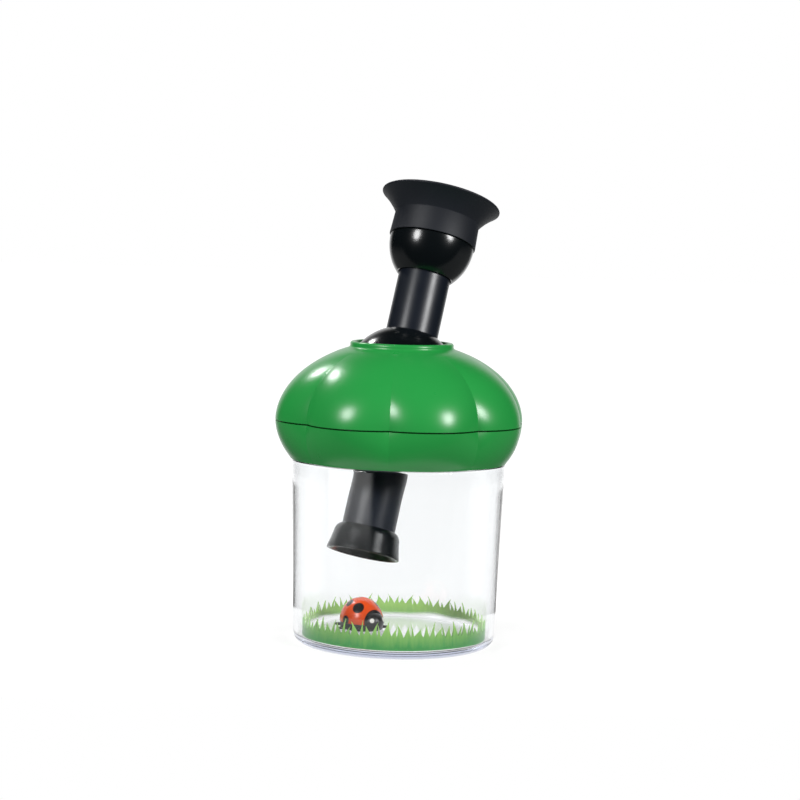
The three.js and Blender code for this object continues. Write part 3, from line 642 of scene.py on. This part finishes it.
class AddCap(bpy.types.Operator):
    """Add the lobed dome and the ring under it"""

    bl_idname = "bug_viewer.cap"
    bl_label = "Cap"

    def execute(self, context):
        s = context.scene.bug_viewer_cap
        jar = context.scene.bug_viewer_jar
        ball = context.scene.bug_viewer_ball
        green = green_abs_moulded(s)
        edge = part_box("cap_lower_ring")[0].z
        seam = edge + s.half_height * RING_DROP
        around = s.lobes * LOBE_STEPS

        # Dome: outer skin, collar, ball seat, sleeve, inner skin
        inner_radius = s.radius - s.wall
        inner_height = s.half_height - s.wall
        collar = s.collar_radius + s.collar_wall
        collar_top = seam + s.half_height * COLLAR_TOP
        seat = ball.radius + GAP
        sleeve = seat + 2.6 * MM
        dome = turned([
            *arc(s.radius, s.half_height, seam, math.asin(s.seam_gap / 2 / s.half_height),
                 math.acos(collar / s.radius) - 0.02, 44),
            (collar, seam + s.half_height * math.sin(math.acos(collar / s.radius)) + 0.3 * MM, 0.5 * MM),
            (collar, collar_top, 1 * MM),
            (s.collar_radius, collar_top, 1 * MM),
            *arc(seat, seat, PIVOT.z, math.acos(s.collar_radius / seat), math.asin(GAP / seat), 14),
            (sleeve, PIVOT.z + GAP),
            *arc(inner_radius, inner_height, seam, math.acos(sleeve / inner_radius),
                 math.asin(2.3 * MM / inner_height), 24),
            (inner_radius, seam + s.seam_gap / 2),
        ], around)
        shape_lobes(dome, s, seam, sleeve + GAP)
        # A boss for each screw, from inside the dome's skin down to where the screw enters it
        boss = 3 * MM
        for kind, bite in (("cap_screw", 5 * MM), ("retainer_screw", 5.3 * MM)):
            for i in SCREWS:
                low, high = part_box(f"{kind}_{i}")
                middle = (low + high) / 2
                foot = high.z - bite
                circle = math.hypot(middle.x, middle.y) + boss
                roof = seam + inner_height * math.sqrt(1 - (circle / inner_radius) ** 2) + s.wall / 2
                bmesh.ops.create_cone(
                    dome, cap_ends=True, segments=32, radius1=boss, radius2=boss, depth=roof - foot,
                    matrix=Matrix.Translation((middle.x, middle.y, (foot + roof) / 2)),
                )
        settle(dome, "cap_dome_shell", green, "cap", "cap_dome", 50)

        # Ring: outer skin, spigot lip, inner skin, jar socket and the web over the jar's rim
        edge_angle = -math.asin((seam - edge - 0.6 * MM) / s.half_height)
        edge_radius = s.radius * math.cos(edge_angle)
        lip = inner_radius - GAP
        lip_bore = lip - 1.1 * MM
        lip_foot = 2.2 * MM
        socket = jar.shoulder_radius - jar.neck_step + GAP
        socket_outer = socket + 1.2 * MM
        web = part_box("jar")[1].z + GAP
        web_inner = jar.shoulder_radius - jar.neck_step - jar.neck_wall - 8.1 * MM
        skirt = turned([
            (edge_radius - 0.3 * MM, edge, EDGE),
            *arc(s.radius, s.half_height, seam, edge_angle, -math.asin(s.seam_gap / 2 / s.half_height), 26),
            (lip, seam - s.seam_gap / 2),
            (lip, seam + 2 * MM, EDGE),
            (lip_bore, seam + 2 * MM, EDGE),
            (lip_bore, seam - lip_foot),
            *arc(inner_radius, inner_height, seam, -math.asin(lip_foot / inner_height),
                 -math.acos(socket_outer / inner_radius), 18),
            (socket_outer, web + 2 * MM),
            (web_inner, web + 2 * MM, SOFT),
            (web_inner, web, SOFT),
            (socket, web),
            (socket, edge, EDGE),
        ], around)
        shape_lobes(skirt, s, seam, socket_outer + GAP / 2)
        settle(skirt, "cap_ring_shell", green, "cap", "cap_lower_ring", 50)
        return {"FINISHED"}


class AddSocket(bpy.types.Operator):
    """Add the ball's retainer and seat ring, and finish the screws"""

    bl_idname = "bug_viewer.socket"
    bl_label = "Ball Socket"

    def execute(self, context):
        ball = context.scene.bug_viewer_ball
        scope = context.scene.bug_viewer_scope
        satin = black_abs_satin(scope)
        seat = ball.radius + GAP
        drop = ball.radius * SEAT_BOTTOM
        low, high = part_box("socket_retainer")
        bore = seat + 1.3 * MM
        outer = bore + 1.9 * MM
        lip_top = PIVOT.z - drop - GAP
        lip_radius = math.sqrt(seat**2 - drop**2) + GAP
        retainer = turned([
            (outer, low.z, SOFT),
            (outer, high.z, EDGE),
            (bore, high.z, EDGE),
            (bore, lip_top),
            (lip_radius, lip_top, EDGE),
            (lip_radius, low.z, SOFT),
        ])
        # A round ear under each of its screws
        ear = 3.9 * MM
        for i in SCREWS:
            left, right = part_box(f"retainer_screw_{i}")
            middle = (left + right) / 2
            bmesh.ops.create_cone(
                retainer, cap_ends=True, segments=40, radius1=ear, radius2=ear, depth=2 * MM,
                matrix=Matrix.Translation((middle.x, middle.y, PIVOT.z - 9.5 * MM)),
            )
        settle(retainer, "ball_retainer", satin, "cap", "socket_retainer")
        top = ball.radius * SEAT_TOP
        seat_ring = turned([
            (seat + 1 * MM, PIVOT.z - drop, FINE),
            (seat + 1 * MM, PIVOT.z - top, FINE),
            *arc(seat, seat, PIVOT.z, -math.asin(top / seat), -math.asin(drop / seat), 12),
        ])
        settle(seat_ring, "ball_seat", nylon_moulded(), "swivel_seat", "ball_seat_ring")
        for i in SCREWS:
            dress(f"cap_screw_{i}", steel_zinc_plated())
            dress(f"retainer_screw_{i}", steel_zinc_plated())
        return {"FINISHED"}


class AddBall(bpy.types.Operator):
    """Add the two halves of the ball and the ring that grips the tube"""

    bl_idname = "bug_viewer.ball"
    bl_label = "Ball"

    def execute(self, context):
        s = context.scene.bug_viewer_ball
        scope = context.scene.bug_viewer_scope
        black = black_abs_polished(s)
        bore = scope.tube_radius + GAP
        groove = bore + 2.25 * MM
        sleeve = groove + 1.8 * MM
        inner = s.radius - s.wall
        # Half the gap between the halves, half the height of the ring's groove, and the bore's mouth
        face = 0.15 * MM
        depth = 2.3 * MM
        mouth = math.sqrt(s.radius**2 - bore**2) - SOFT
        painted_top_light = math.asin(face / s.radius)
        rise = math.acos((bore + EDGE) / s.radius)
        upper = turned([
            *arc(s.radius, s.radius, 0, painted_top_light, rise, 30),
            (bore, mouth),
            (bore, depth),
            (groove, depth),
            (groove, face),
            (sleeve, face),
            *arc(inner, inner, 0, math.acos(sleeve / inner), math.asin(face / inner), 12),
        ])
        # The lower half has a lip that centres the upper one
        lip = inner - GAP
        lip_bore = lip - 1.3 * MM
        lip_top, lip_foot = 1.8 * MM, 1.5 * MM
        lower = turned([
            *arc(s.radius, s.radius, 0, -rise, -painted_top_light, 30),
            (lip, -face),
            (lip, lip_top, FINE),
            (lip_bore, lip_top, FINE),
            (lip_bore, -lip_foot),
            *arc(inner, inner, 0, -math.asin(lip_foot / inner), -math.acos(sleeve / inner), 12),
            (sleeve, -face),
            (groove, -face),
            (groove, -depth),
            (bore, -depth),
            (bore, -mouth),
        ])
        grip = ring(bore + 1.95 * MM, bore, -2 * MM, 2 * MM, EDGE)
        rubber = rubber_matt(scope)
        for bm, name, material, node, slot in (
            (upper, "ball_top_shell", black, "ball_upper_half", "gloss_black"),
            (lower, "ball_bottom_shell", black, "ball_lower_half", "gloss_black"),
            (grip, "tube_grip_ring", rubber, "tube_friction_ring", "black_rubber"),
        ):
            bmesh.ops.transform(bm, matrix=LEAN, verts=bm.verts)
            settle(bm, name, material, "ball", node)
        return {"FINISHED"}


class AddScope(bpy.types.Operator):
    """Add the scope's tube, eyepiece, eyecup, hood and lenses"""

    bl_idname = "bug_viewer.scope"
    bl_label = "Scope"

    def execute(self, context):
        s = context.scene.bug_viewer_scope
        black = black_abs_polished(context.scene.bug_viewer_ball)
        satin = black_abs_satin(s)
        rubber = rubber_matt(s)
        glass = acrylic_lens()
        bore = s.tube_radius + GAP
        tube_bore = s.tube_radius - s.tube_wall
        tube = turned([
            (s.tube_radius, -s.tube_bottom, FINE),
            (s.tube_radius, s.tube_top, EDGE),
            (tube_bore, s.tube_top, EDGE),
            (tube_bore, -s.tube_bottom, FINE),
        ])

        # Eyepiece housing: a bowl with a neck for the tube, a rim for the eyecup, a lens ledge
        neck = -math.acos((bore + 0.7 * MM) / s.housing_radius)
        neck_bottom = s.housing_equator + s.housing_drop * math.sin(neck)
        rim_radius = s.housing_radius - 1.2 * MM
        rim_bore = rim_radius - 1 * MM
        ledge = s.rim - 6.1 * MM
        stop = s.tube_top + GAP
        housing = turned([
            (bore, neck_bottom, EDGE),
            *arc(s.housing_radius, s.housing_drop, s.housing_equator, neck, -0.02, 32),
            (s.housing_radius, s.housing_equator, 0.15 * MM),
            (rim_radius, s.housing_equator),
            (rim_radius, s.rim, EDGE),
            (rim_bore, s.rim, EDGE),
            (rim_bore, ledge),
            (rim_bore - 2 * MM, ledge),
            (s.tube_radius - 1.05 * MM, stop + 1.2 * MM),
            (s.tube_radius - 1.05 * MM, stop),
            (bore, stop),
        ])

        # Eyecup: a band round the rim, a throat, and a flare to the eye
        band = s.housing_radius + 0.5 * MM
        throat = band - 0.4 * MM
        grip = rim_radius + GAP
        shoulder = s.rim + 1.6 * MM
        opening = grip - 2.7 * MM
        lip = s.eyecup_radius - 0.5 * MM
        lip_height = s.eyecup_rim - 0.5 * MM
        eyecup = turned([
            (grip, s.housing_equator + GAP),
            (band, s.housing_equator + GAP, 0.25 * MM),
            *bend((throat, s.rim - 0.2 * MM), (throat + 2.7 * MM, s.rim + 4.1 * MM),
                  (lip + 0.3 * MM, lip_height - 0.42 * MM), 22),
            *[(lip + x, z) for x, z in arc(0.5 * MM, 0.5 * MM, lip_height, -0.6, 2.3, 10)],
            *bend((lip - 0.45 * MM, lip_height + 0.1 * MM), (opening + 3.4 * MM, shoulder + 4.4 * MM),
                  (opening, shoulder), 20),
            (opening, s.rim + GAP),
            (grip, s.rim + GAP),
        ])

        # Hood: a bell with a rounded shoulder, pushed on to the tube's lower end
        low = -s.hood_bottom
        ledge_top = -s.tube_bottom - GAP
        hood = turned([
            (s.hood_radius - 1.2 * MM, low, 0.35 * MM),
            (s.hood_radius, low, 0.45 * MM),
            *bend((s.hood_radius - 0.2 * MM, low + 1.2 * MM), (s.hood_radius - 0.9 * MM, low + 4 * MM),
                  (s.hood_radius - 1.3 * MM, low + 6.6 * MM), 8),
            *bend((s.hood_radius - 1.4 * MM, low + 7.4 * MM), (s.hood_radius - 1.7 * MM, low + 9.4 * MM),
                  (s.hood_radius - 3.1 * MM, low + 10.3 * MM), 10),
            (bore, low + 10.3 * MM, FINE),
            (bore, ledge_top),
            (s.tube_radius - 0.75 * MM, ledge_top),
            (s.tube_radius - 0.75 * MM, ledge_top - 1 * MM),
        ])

        # Lenses, and the rings and the stop beside them
        eye_radius, eye_rim, eye_low = rim_bore - GAP, 2.4 * MM, ledge + GAP
        eye_ring_low = eye_low + 2 * MM + GAP
        radius, rim = tube_bore - GAP, 1.8 * MM
        ring_low = -s.tube_bottom + GAP
        stop_low = 48 * MM
        pieces = (
            (tube, "tube", satin, "scope_tube", "black_abs"),
            (housing, "eyepiece_bowl", black, "eyepiece_housing", "gloss_black"),
            (eyecup, "eyecup_rubber", rubber, "eyecup", "black_rubber"),
            (hood, "hood", black, "objective_hood", "black_abs"),
            (lens(eye_radius, eye_rim, eye_low, 2 * MM, 1.6 * MM), "eye_lens", glass, "eyepiece_lens",
             "clear_acrylic"),
            (ring(eye_radius, eye_radius - eye_rim, eye_ring_low, eye_ring_low + 2 * MM), "eye_lens_ring",
             satin, "eyepiece_lens_ring", "black_abs"),
            (ring(radius, 5.5 * MM, stop_low, stop_low + 1.2 * MM), "light_stop", satin, "field_stop",
             "black_abs"),
            (ring(radius, radius - rim, ring_low, ring_low + 1.3 * MM), "front_lens_ring", satin,
             "objective_lens_ring", "black_abs"),
            (lens(radius, rim, ring_low + 1.6 * MM, 1.4 * MM, 0.8 * MM), "front_lens", glass,
             "objective_lens", "clear_acrylic"),
        )
        for bm, name, material, node, slot in pieces:
            bmesh.ops.transform(bm, matrix=LEAN, verts=bm.verts)
            settle(bm, name, material, "scope", node)
        return {"FINISHED"}


class AddGrass(bpy.types.Operator):
    """Add the strip of grass that stands round the jar's floor"""

    bl_idname = "bug_viewer.grass"
    bl_label = "Grass"

    def execute(self, context):
        s = context.scene.bug_viewer_garden
        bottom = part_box("grass_insert")[0].z
        around = TURN * s.grass_radius
        blades = round(around / s.blade_pitch)
        pitch = around / blades
        # The sward's least height, at the sides, and the blades' height over it at the back
        hem, back_blades = 1.4 * MM, 4.2 * MM
        # Heights of the blades, which repeat, and how far their tips lean, in blade pitches
        tips = (1, 0.62, 0.9, 0.7, 1, 0.52, 0.82, 0.95, 0.58, 0.88, 0.7)
        leans = (0.7, -0.3, 0.45, 0.9, -0.75, 0.2, -0.5)
        bm = bmesh.new()
        bmesh.ops.create_grid(bm, x_segments=blades, y_segments=1, size=0.5)
        for vert in bm.verts:
            column = round((vert.co.x + 0.5) * blades) % blades
            shift = 0.26 * math.sin(2.4 * column) + 0.14 * math.sin(5.1 * column)
            x = vert.co.x * around + pitch * shift
            facing = math.cos(x / s.grass_radius)
            sward = (s.grass_body if facing > 0 else s.grass_back - back_blades) - hem
            body = hem + sward * abs(facing) ** 0.8 + 0.3 * MM * math.sin(1.7 * column)
            vert.co = (x, 0, bottom + (body if vert.co.y > 0 else 0))
        tops = [e for e in bm.edges if all(v.co.z > bottom + 0.5 * MM for v in e.verts)]
        tops.sort(key=lambda e: e.verts[0].co.x + e.verts[1].co.x)
        for i, edge in enumerate(tops):
            left, right = sorted((v.co.copy() for v in edge.verts), key=lambda c: c.x)
            middle = (left + right) / 2
            half = (right - left) / 2
            front = (1 + math.cos(middle.x / s.grass_radius)) / 2
            tall = s.grass_back + (s.grass_front - s.grass_back) * front - (middle.z - bottom)
            rise = tall * tips[i % len(tips)] * (0.5 + 0.5 * abs(math.cos(middle.x / s.grass_radius)))
            lean = s.blade_pitch * leans[i % len(leans)] * rise / tall
            for step in range(1, BLADE_STEPS + 1):
                t = step / BLADE_STEPS
                made = bmesh.ops.extrude_edge_only(bm, edges=[edge])["geom"]
                edge = next(g for g in made if isinstance(g, bmesh.types.BMEdge))
                for vert, side in zip(sorted(edge.verts, key=lambda v: v.co.x), (-1, 1)):
                    vert.co = middle + side * half * (1 - t) ** 1.5 + Vector((lean * t**2, 0, rise * t))
        for vert in bm.verts:
            azimuth = vert.co.x / s.grass_radius
            vert.co = (s.grass_radius * math.sin(azimuth), -s.grass_radius * math.cos(azimuth), vert.co.z)
        bmesh.ops.remove_doubles(bm, verts=bm.verts, dist=0.002 * MM)
        bmesh.ops.recalc_face_normals(bm, faces=bm.faces)
        bmesh.ops.solidify(bm, geom=bm.faces[:], thickness=0.45 * MM)
        bmesh.ops.recalc_face_normals(bm, faces=bm.faces)
        film = printed_film_grass(s)
        settle(bm, "grass_strip", film, "jar", "grass_insert")
        return {"FINISHED"}


class AddLadybird(bpy.types.Operator):
    """Add the toy ladybird"""

    bl_idname = "bug_viewer.ladybird"
    bl_label = "Ladybird"

    def execute(self, context):
        s = context.scene.bug_viewer_garden
        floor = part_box("ladybird_body")[0].z
        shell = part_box("ladybird_wing_cases")[0].z
        place = Matrix.Translation((s.beetle_x, s.beetle_y, 0)) @ Matrix.Rotation(s.heading, 4, "Z")
        rise = floor + s.beetle_height - shell

        # Wing cases: half an ellipsoid, grooved along the line where they meet
        bm = bmesh.new()
        bmesh.ops.create_uvsphere(bm, u_segments=96, v_segments=48, radius=1)
        bmesh.ops.bisect_plane(
            bm, geom=bm.verts[:] + bm.edges[:] + bm.faces[:], plane_co=(0, 0, 0), plane_no=(0, 0, 1),
            clear_inner=True,
        )
        bmesh.ops.holes_fill(bm, edges=[e for e in bm.edges if e.is_boundary])
        bmesh.ops.scale(bm, vec=(s.beetle_width / 2, s.beetle_length / 2, rise), verts=bm.verts)
        for vert in bm.verts:
            if vert.co.z > 0.5 * MM:
                groove = math.exp(-((vert.co.x / (0.45 * MM)) ** 2))
                back = min(1.0, max(0.0, (vert.co.y + 0.3 * s.beetle_length) / (4 * MM)))
                vert.co.z -= 0.35 * MM * groove * back
        bmesh.ops.translate(bm, vec=(0, 0, shell), verts=bm.verts)
        bmesh.ops.transform(bm, matrix=place, verts=bm.verts)
        bmesh.ops.recalc_face_normals(bm, faces=bm.faces)
        lacquer = lacquer_orange_spotted(s)
        settle(bm, "ladybird_wings", lacquer, "jar", "ladybird_wing_cases")

        # Underside, head and six legs
        bm = bmesh.new()
        plate = bmesh.ops.create_cone(
            bm, cap_ends=True, segments=72, radius1=1, radius2=1, depth=2.4 * MM,
            matrix=Matrix.Translation((0, 0, floor + 1.2 * MM)),
        )["verts"]
        size = (s.beetle_width / 2 - GAP, s.beetle_length / 2 - GAP, 1)
        bmesh.ops.scale(bm, vec=size, verts=plate)
        radius = 3.6 * MM
        head = bmesh.ops.create_uvsphere(bm, u_segments=48, v_segments=32, radius=radius)["verts"]
        bmesh.ops.scale(bm, vec=(1.25, 1, 1), verts=head)
        nose = (0, -0.43 * s.beetle_length, floor + radius)
        bmesh.ops.translate(bm, vec=nose, verts=head)
        reach = s.beetle_width / 2 + 2.3 * MM
        for side in (-1, 1):
            for spread in (-48, 0, 48):
                turn = Matrix.Rotation(math.radians(side * spread), 4, "Z")
                out = Matrix.Translation((side * reach / 2, 0, floor + 0.8 * MM))
                bmesh.ops.create_cone(
                    bm, cap_ends=True, segments=16, radius1=0.8 * MM, radius2=0.55 * MM, depth=reach,
                    matrix=turn @ out @ Matrix.Rotation(side * math.pi / 2, 4, "Y"),
                )
        bmesh.ops.transform(bm, matrix=place, verts=bm.verts)
        bmesh.ops.recalc_face_normals(bm, faces=bm.faces)
        black = black_plastic_ladybird(s)
        settle(bm, "ladybird_underside", black, "jar", "ladybird_body")
        return {"FINISHED"}


def seen_white(tree, back, gloss_back):
    """1 where the camera sees the backdrop, also through clear walls, and the share of it that is
    seen mirrored, which falls from 1 where back is 1 to 0 at the sides and in front. The second
    value is 1 for diffuse rays."""
    rays = add(tree, "LightPath")
    glanced = add(tree, "Math", {0: rays.outputs["Glossy Depth"], 1: 1.0}, operation="MINIMUM")
    chamber = add(tree, "Math", {
        0: rays.outputs["Transmission Depth"], 1: CHAMBER_DEPTH,
    }, operation="GREATER_THAN")
    # Off the wall's inner side, off a piece in the jar and out again, and off an outer side
    wall, glint, gloss = (
        add(tree, "MapRange", {
            "Value": value, "From Min": low, "From Max": high,
        }, interpolation_type="SMOOTHSTEP")
        for value, low, high in ((back, -0.5, 0.2), (back, 0.3, 0.6), (gloss_back, 0.75, 0.95))
    )
    left = add(tree, "Mix", {0: chamber, 2: wall, 3: glint})
    through = add(tree, "Mix", {0: glanced, 2: 1.0, 3: left})
    share = add(tree, "Mix", {0: rays.outputs["Is Reflection Ray"], 2: through, 3: gloss})
    shown = add(tree, "Math", {
        0: rays.outputs["Is Glossy Ray"], 1: rays.outputs["Is Transmission Ray"],
    }, operation="MAXIMUM")
    shown = add(tree, "Math", {0: shown, 1: share}, operation="MULTIPLY")
    seen = add(tree, "Math", {0: rays.outputs["Is Camera Ray"], 1: shown}, operation="MAXIMUM")
    return seen, rays.outputs["Is Diffuse Ray"]


@surface_finish
def paper_matt(tree, coordinates):
    """Matt grey studio paper, shown as white, that keeps the toy's shadow near it."""
    y = add(tree, "SeparateXYZ", {0: coordinates}).outputs["Y"]
    away = add(tree, "VectorMath", {0: coordinates}, operation="LENGTH").outputs["Value"]
    side = add(tree, "Math", {0: y, 1: away}, operation="DIVIDE")
    # Seen from above, the jar's outer side mirrors the paper round the toy, which is white there
    close = add(tree, "MapRange", {
        "Value": away, "From Min": 100 * MM, "From Max": 80 * MM,
    }, interpolation_type="SMOOTHSTEP")
    close = add(tree, "Math", {0: side, 1: close}, operation="MAXIMUM")
    seen = seen_white(tree, side, close)[0]
    # Under the toy the white is a little weaker, which leaves its shadow there
    clear = add(tree, "MapRange", {
        "Value": away, "From Min": 60 * MM, "From Max": 115 * MM, "To Min": 0.84,
    }, interpolation_type="SMOOTHSTEP")
    strength = add(tree, "Math", {0: seen, 1: clear}, operation="MULTIPLY")
    # The paper's fibres show as a mottle some 4 mm wide
    paper = mottled(tree, coordinates, 4 * MM, linear("#707070"), linear("#787878"))
    matt = add(tree, "BsdfDiffuse", {"Color": paper})
    glow = add(tree, "Emission", {"Color": WHITE, "Strength": strength})
    return {"Surface": add(tree, "AddShader", {0: matt, 1: glow})}


def add_softbox(name, shape, azimuth, elevation, distance, width, height, power):
    """A soft light aimed at the toy, its azimuth measured from the front to the right."""
    light = bpy.data.lights.new(name, "AREA")
    light.shape = shape
    light.size, light.size_y = width, height
    light.energy = power
    lamp = bpy.data.objects.new(name, light)
    a, e = math.radians(azimuth), math.radians(elevation)
    back = Vector((math.sin(a) * math.cos(e), -math.cos(a) * math.cos(e), math.sin(e)))
    lamp.location = LAMP_AIM + back * distance
    lamp.rotation_mode = "QUATERNION"
    lamp.rotation_quaternion = (-back).to_track_quat("-Z", "Y")
    lamp.visible_camera = False
    lamp.visible_transmission = False
    bpy.context.scene.collection.objects.link(lamp)
    return lamp


class SetStage(bpy.types.Operator):
    """Set up the camera, the floor, the lights and the white surround"""

    bl_idname = "bug_viewer.stage"
    bl_label = "Stage"

    def execute(self, context):
        scene = context.scene
        s = scene.bug_viewer_studio
        scene.view_settings.view_transform = "Standard"

        camera = bpy.data.cameras.new("camera")
        camera.sensor_width = 36
        camera.lens = CAMERA_LENS
        camera.clip_start, camera.clip_end = 0.01, 20
        forward = Vector((0, math.cos(CAMERA_PITCH), -math.sin(CAMERA_PITCH)))
        level = Vector((0, math.sin(CAMERA_PITCH), math.cos(CAMERA_PITCH)))
        right = Vector((1, 0, 0)) * math.cos(CAMERA_ROLL) + level * math.sin(CAMERA_ROLL)
        up = level * math.cos(CAMERA_ROLL) - Vector((1, 0, 0)) * math.sin(CAMERA_ROLL)
        eye = bpy.data.objects.new("camera", camera)
        scene.collection.objects.link(eye)
        turn = Matrix((right, up, -forward)).transposed().to_4x4()
        eye.matrix_world = Matrix.Translation(CAMERA_PLACE) @ turn
        scene.camera = eye

        bm = bmesh.new()
        bmesh.ops.create_grid(bm, x_segments=1, y_segments=1, size=PAPER_HALF)
        bmesh.ops.translate(bm, vec=(0, PAPER_HALF + PAPER_FRONT, -PAPER_DROP), verts=bm.verts)
        mesh = bpy.data.meshes.new("floor")
        bm.to_mesh(mesh)
        bm.free()
        mesh.materials.append(paper_matt())
        ground = bpy.data.objects.new("floor", mesh)
        scene.collection.objects.link(ground)

        for name, azimuth, elevation, width, height, power in (
            ("softbox_left", -45, 27, 0.32, 0.4, s.left),
            ("softbox_right", 53, 23, 0.3, 0.4, s.right),
            ("lamp_back", -138, 40, 0.13, 0.13, s.back),
        ):
            add_softbox(name, "ELLIPSE", azimuth, elevation, LAMP_DISTANCE, width, height, power)
        # A small card beside the jar, which mirrors it as a pale veil that ends softly at the right
        card = add_softbox("card_left", "RECTANGLE", -47, 0, 0.15, 0.145, 0.075, s.card)
        card.location.z = 39.5 * MM
        card.data.use_nodes = True
        tree = card.data.node_tree
        tree.nodes.clear()
        place = add(tree, "NewGeometry").outputs["Parametric"]
        place = add(tree, "SeparateXYZ", {0: place})
        edge = add(tree, "Math", {0: place.outputs["X"], 1: 0.5}, operation="SUBTRACT")
        edge = add(tree, "Math", {0: edge}, operation="ABSOLUTE")
        fade = add(tree, "MapRange", {
            "Value": edge, "From Min": 0.5, "From Max": 0.36,
        }, interpolation_type="SMOOTHSTEP")
        climb = add(tree, "MapRange", {
            "Value": place.outputs["Y"], "From Min": 0.1, "From Max": 0.7, "To Min": 0.15,
        }, interpolation_type="SMOOTHSTEP")
        glow = add(tree, "Math", {0: fade, 1: climb}, operation="MULTIPLY")
        light = add(tree, "Emission", {"Strength": glow})
        add(tree, "OutputLight", {"Surface": light})
        mirrors = bpy.data.collections.new("mirrors_the_card")
        mirrors.objects.link(bpy.data.objects["jar_clear"])
        card.light_linking.receiver_collection = mirrors

        world = bpy.data.worlds.new("studio")
        world.use_nodes = True
        scene.world = world
        tree = world.node_tree
        tree.nodes.clear()
        # The backdrop stands behind, where mirror images show it, and a dim room is in front
        ray = add(tree, "TexCoord").outputs["Generated"]
        y = add(tree, "SeparateXYZ", {0: ray}).outputs["Y"]
        seen, diffuse = seen_white(tree, y, y)
        strength = add(tree, "Math", {0: diffuse, 1: s.fill, 2: seen}, operation="MULTIPLY_ADD")
        white = add(tree, "Background", {"Color": WHITE, "Strength": strength})
        add(tree, "OutputWorld", {"Surface": white})
        return {"FINISHED"}


class ToyPanel(bpy.types.Panel):
    """Lists the pieces of the bug viewer"""

    bl_idname = "VIEW3D_PT_bug_viewer"
    bl_label = "Bug Viewer"
    bl_space_type = "VIEW_3D"
    bl_region_type = "UI"
    bl_category = "Bug Viewer"

    def draw(self, context):
        for operator in OPERATORS:
            self.layout.operator(operator.bl_idname)


OPERATORS = (AddJar, AddCap, AddSocket, AddBall, AddScope, AddGrass, AddLadybird, SetStage)
SETTINGS = {
    "bug_viewer_jar": JarSettings,
    "bug_viewer_cap": CapSettings,
    "bug_viewer_ball": BallSettings,
    "bug_viewer_scope": ScopeSettings,
    "bug_viewer_garden": GardenSettings,
    "bug_viewer_studio": StudioSettings,
}


def register():
    for cls in (*SETTINGS.values(), *OPERATORS, ToyPanel):
        bpy.utils.register_class(cls)
    for name, cls in SETTINGS.items():
        setattr(bpy.types.Scene, name, bpy.props.PointerProperty(type=cls))


def unregister():
    for name in SETTINGS:
        delattr(bpy.types.Scene, name)
    for cls in reversed((*SETTINGS.values(), *OPERATORS, ToyPanel)):
        bpy.utils.unregister_class(cls)


def main():
    """Adds every piece in order."""
    register()
    for operator in OPERATORS:
        group, name = operator.bl_idname.split(".")
        getattr(getattr(bpy.ops, group), name)()


if __name__ == "__main__":
    main()
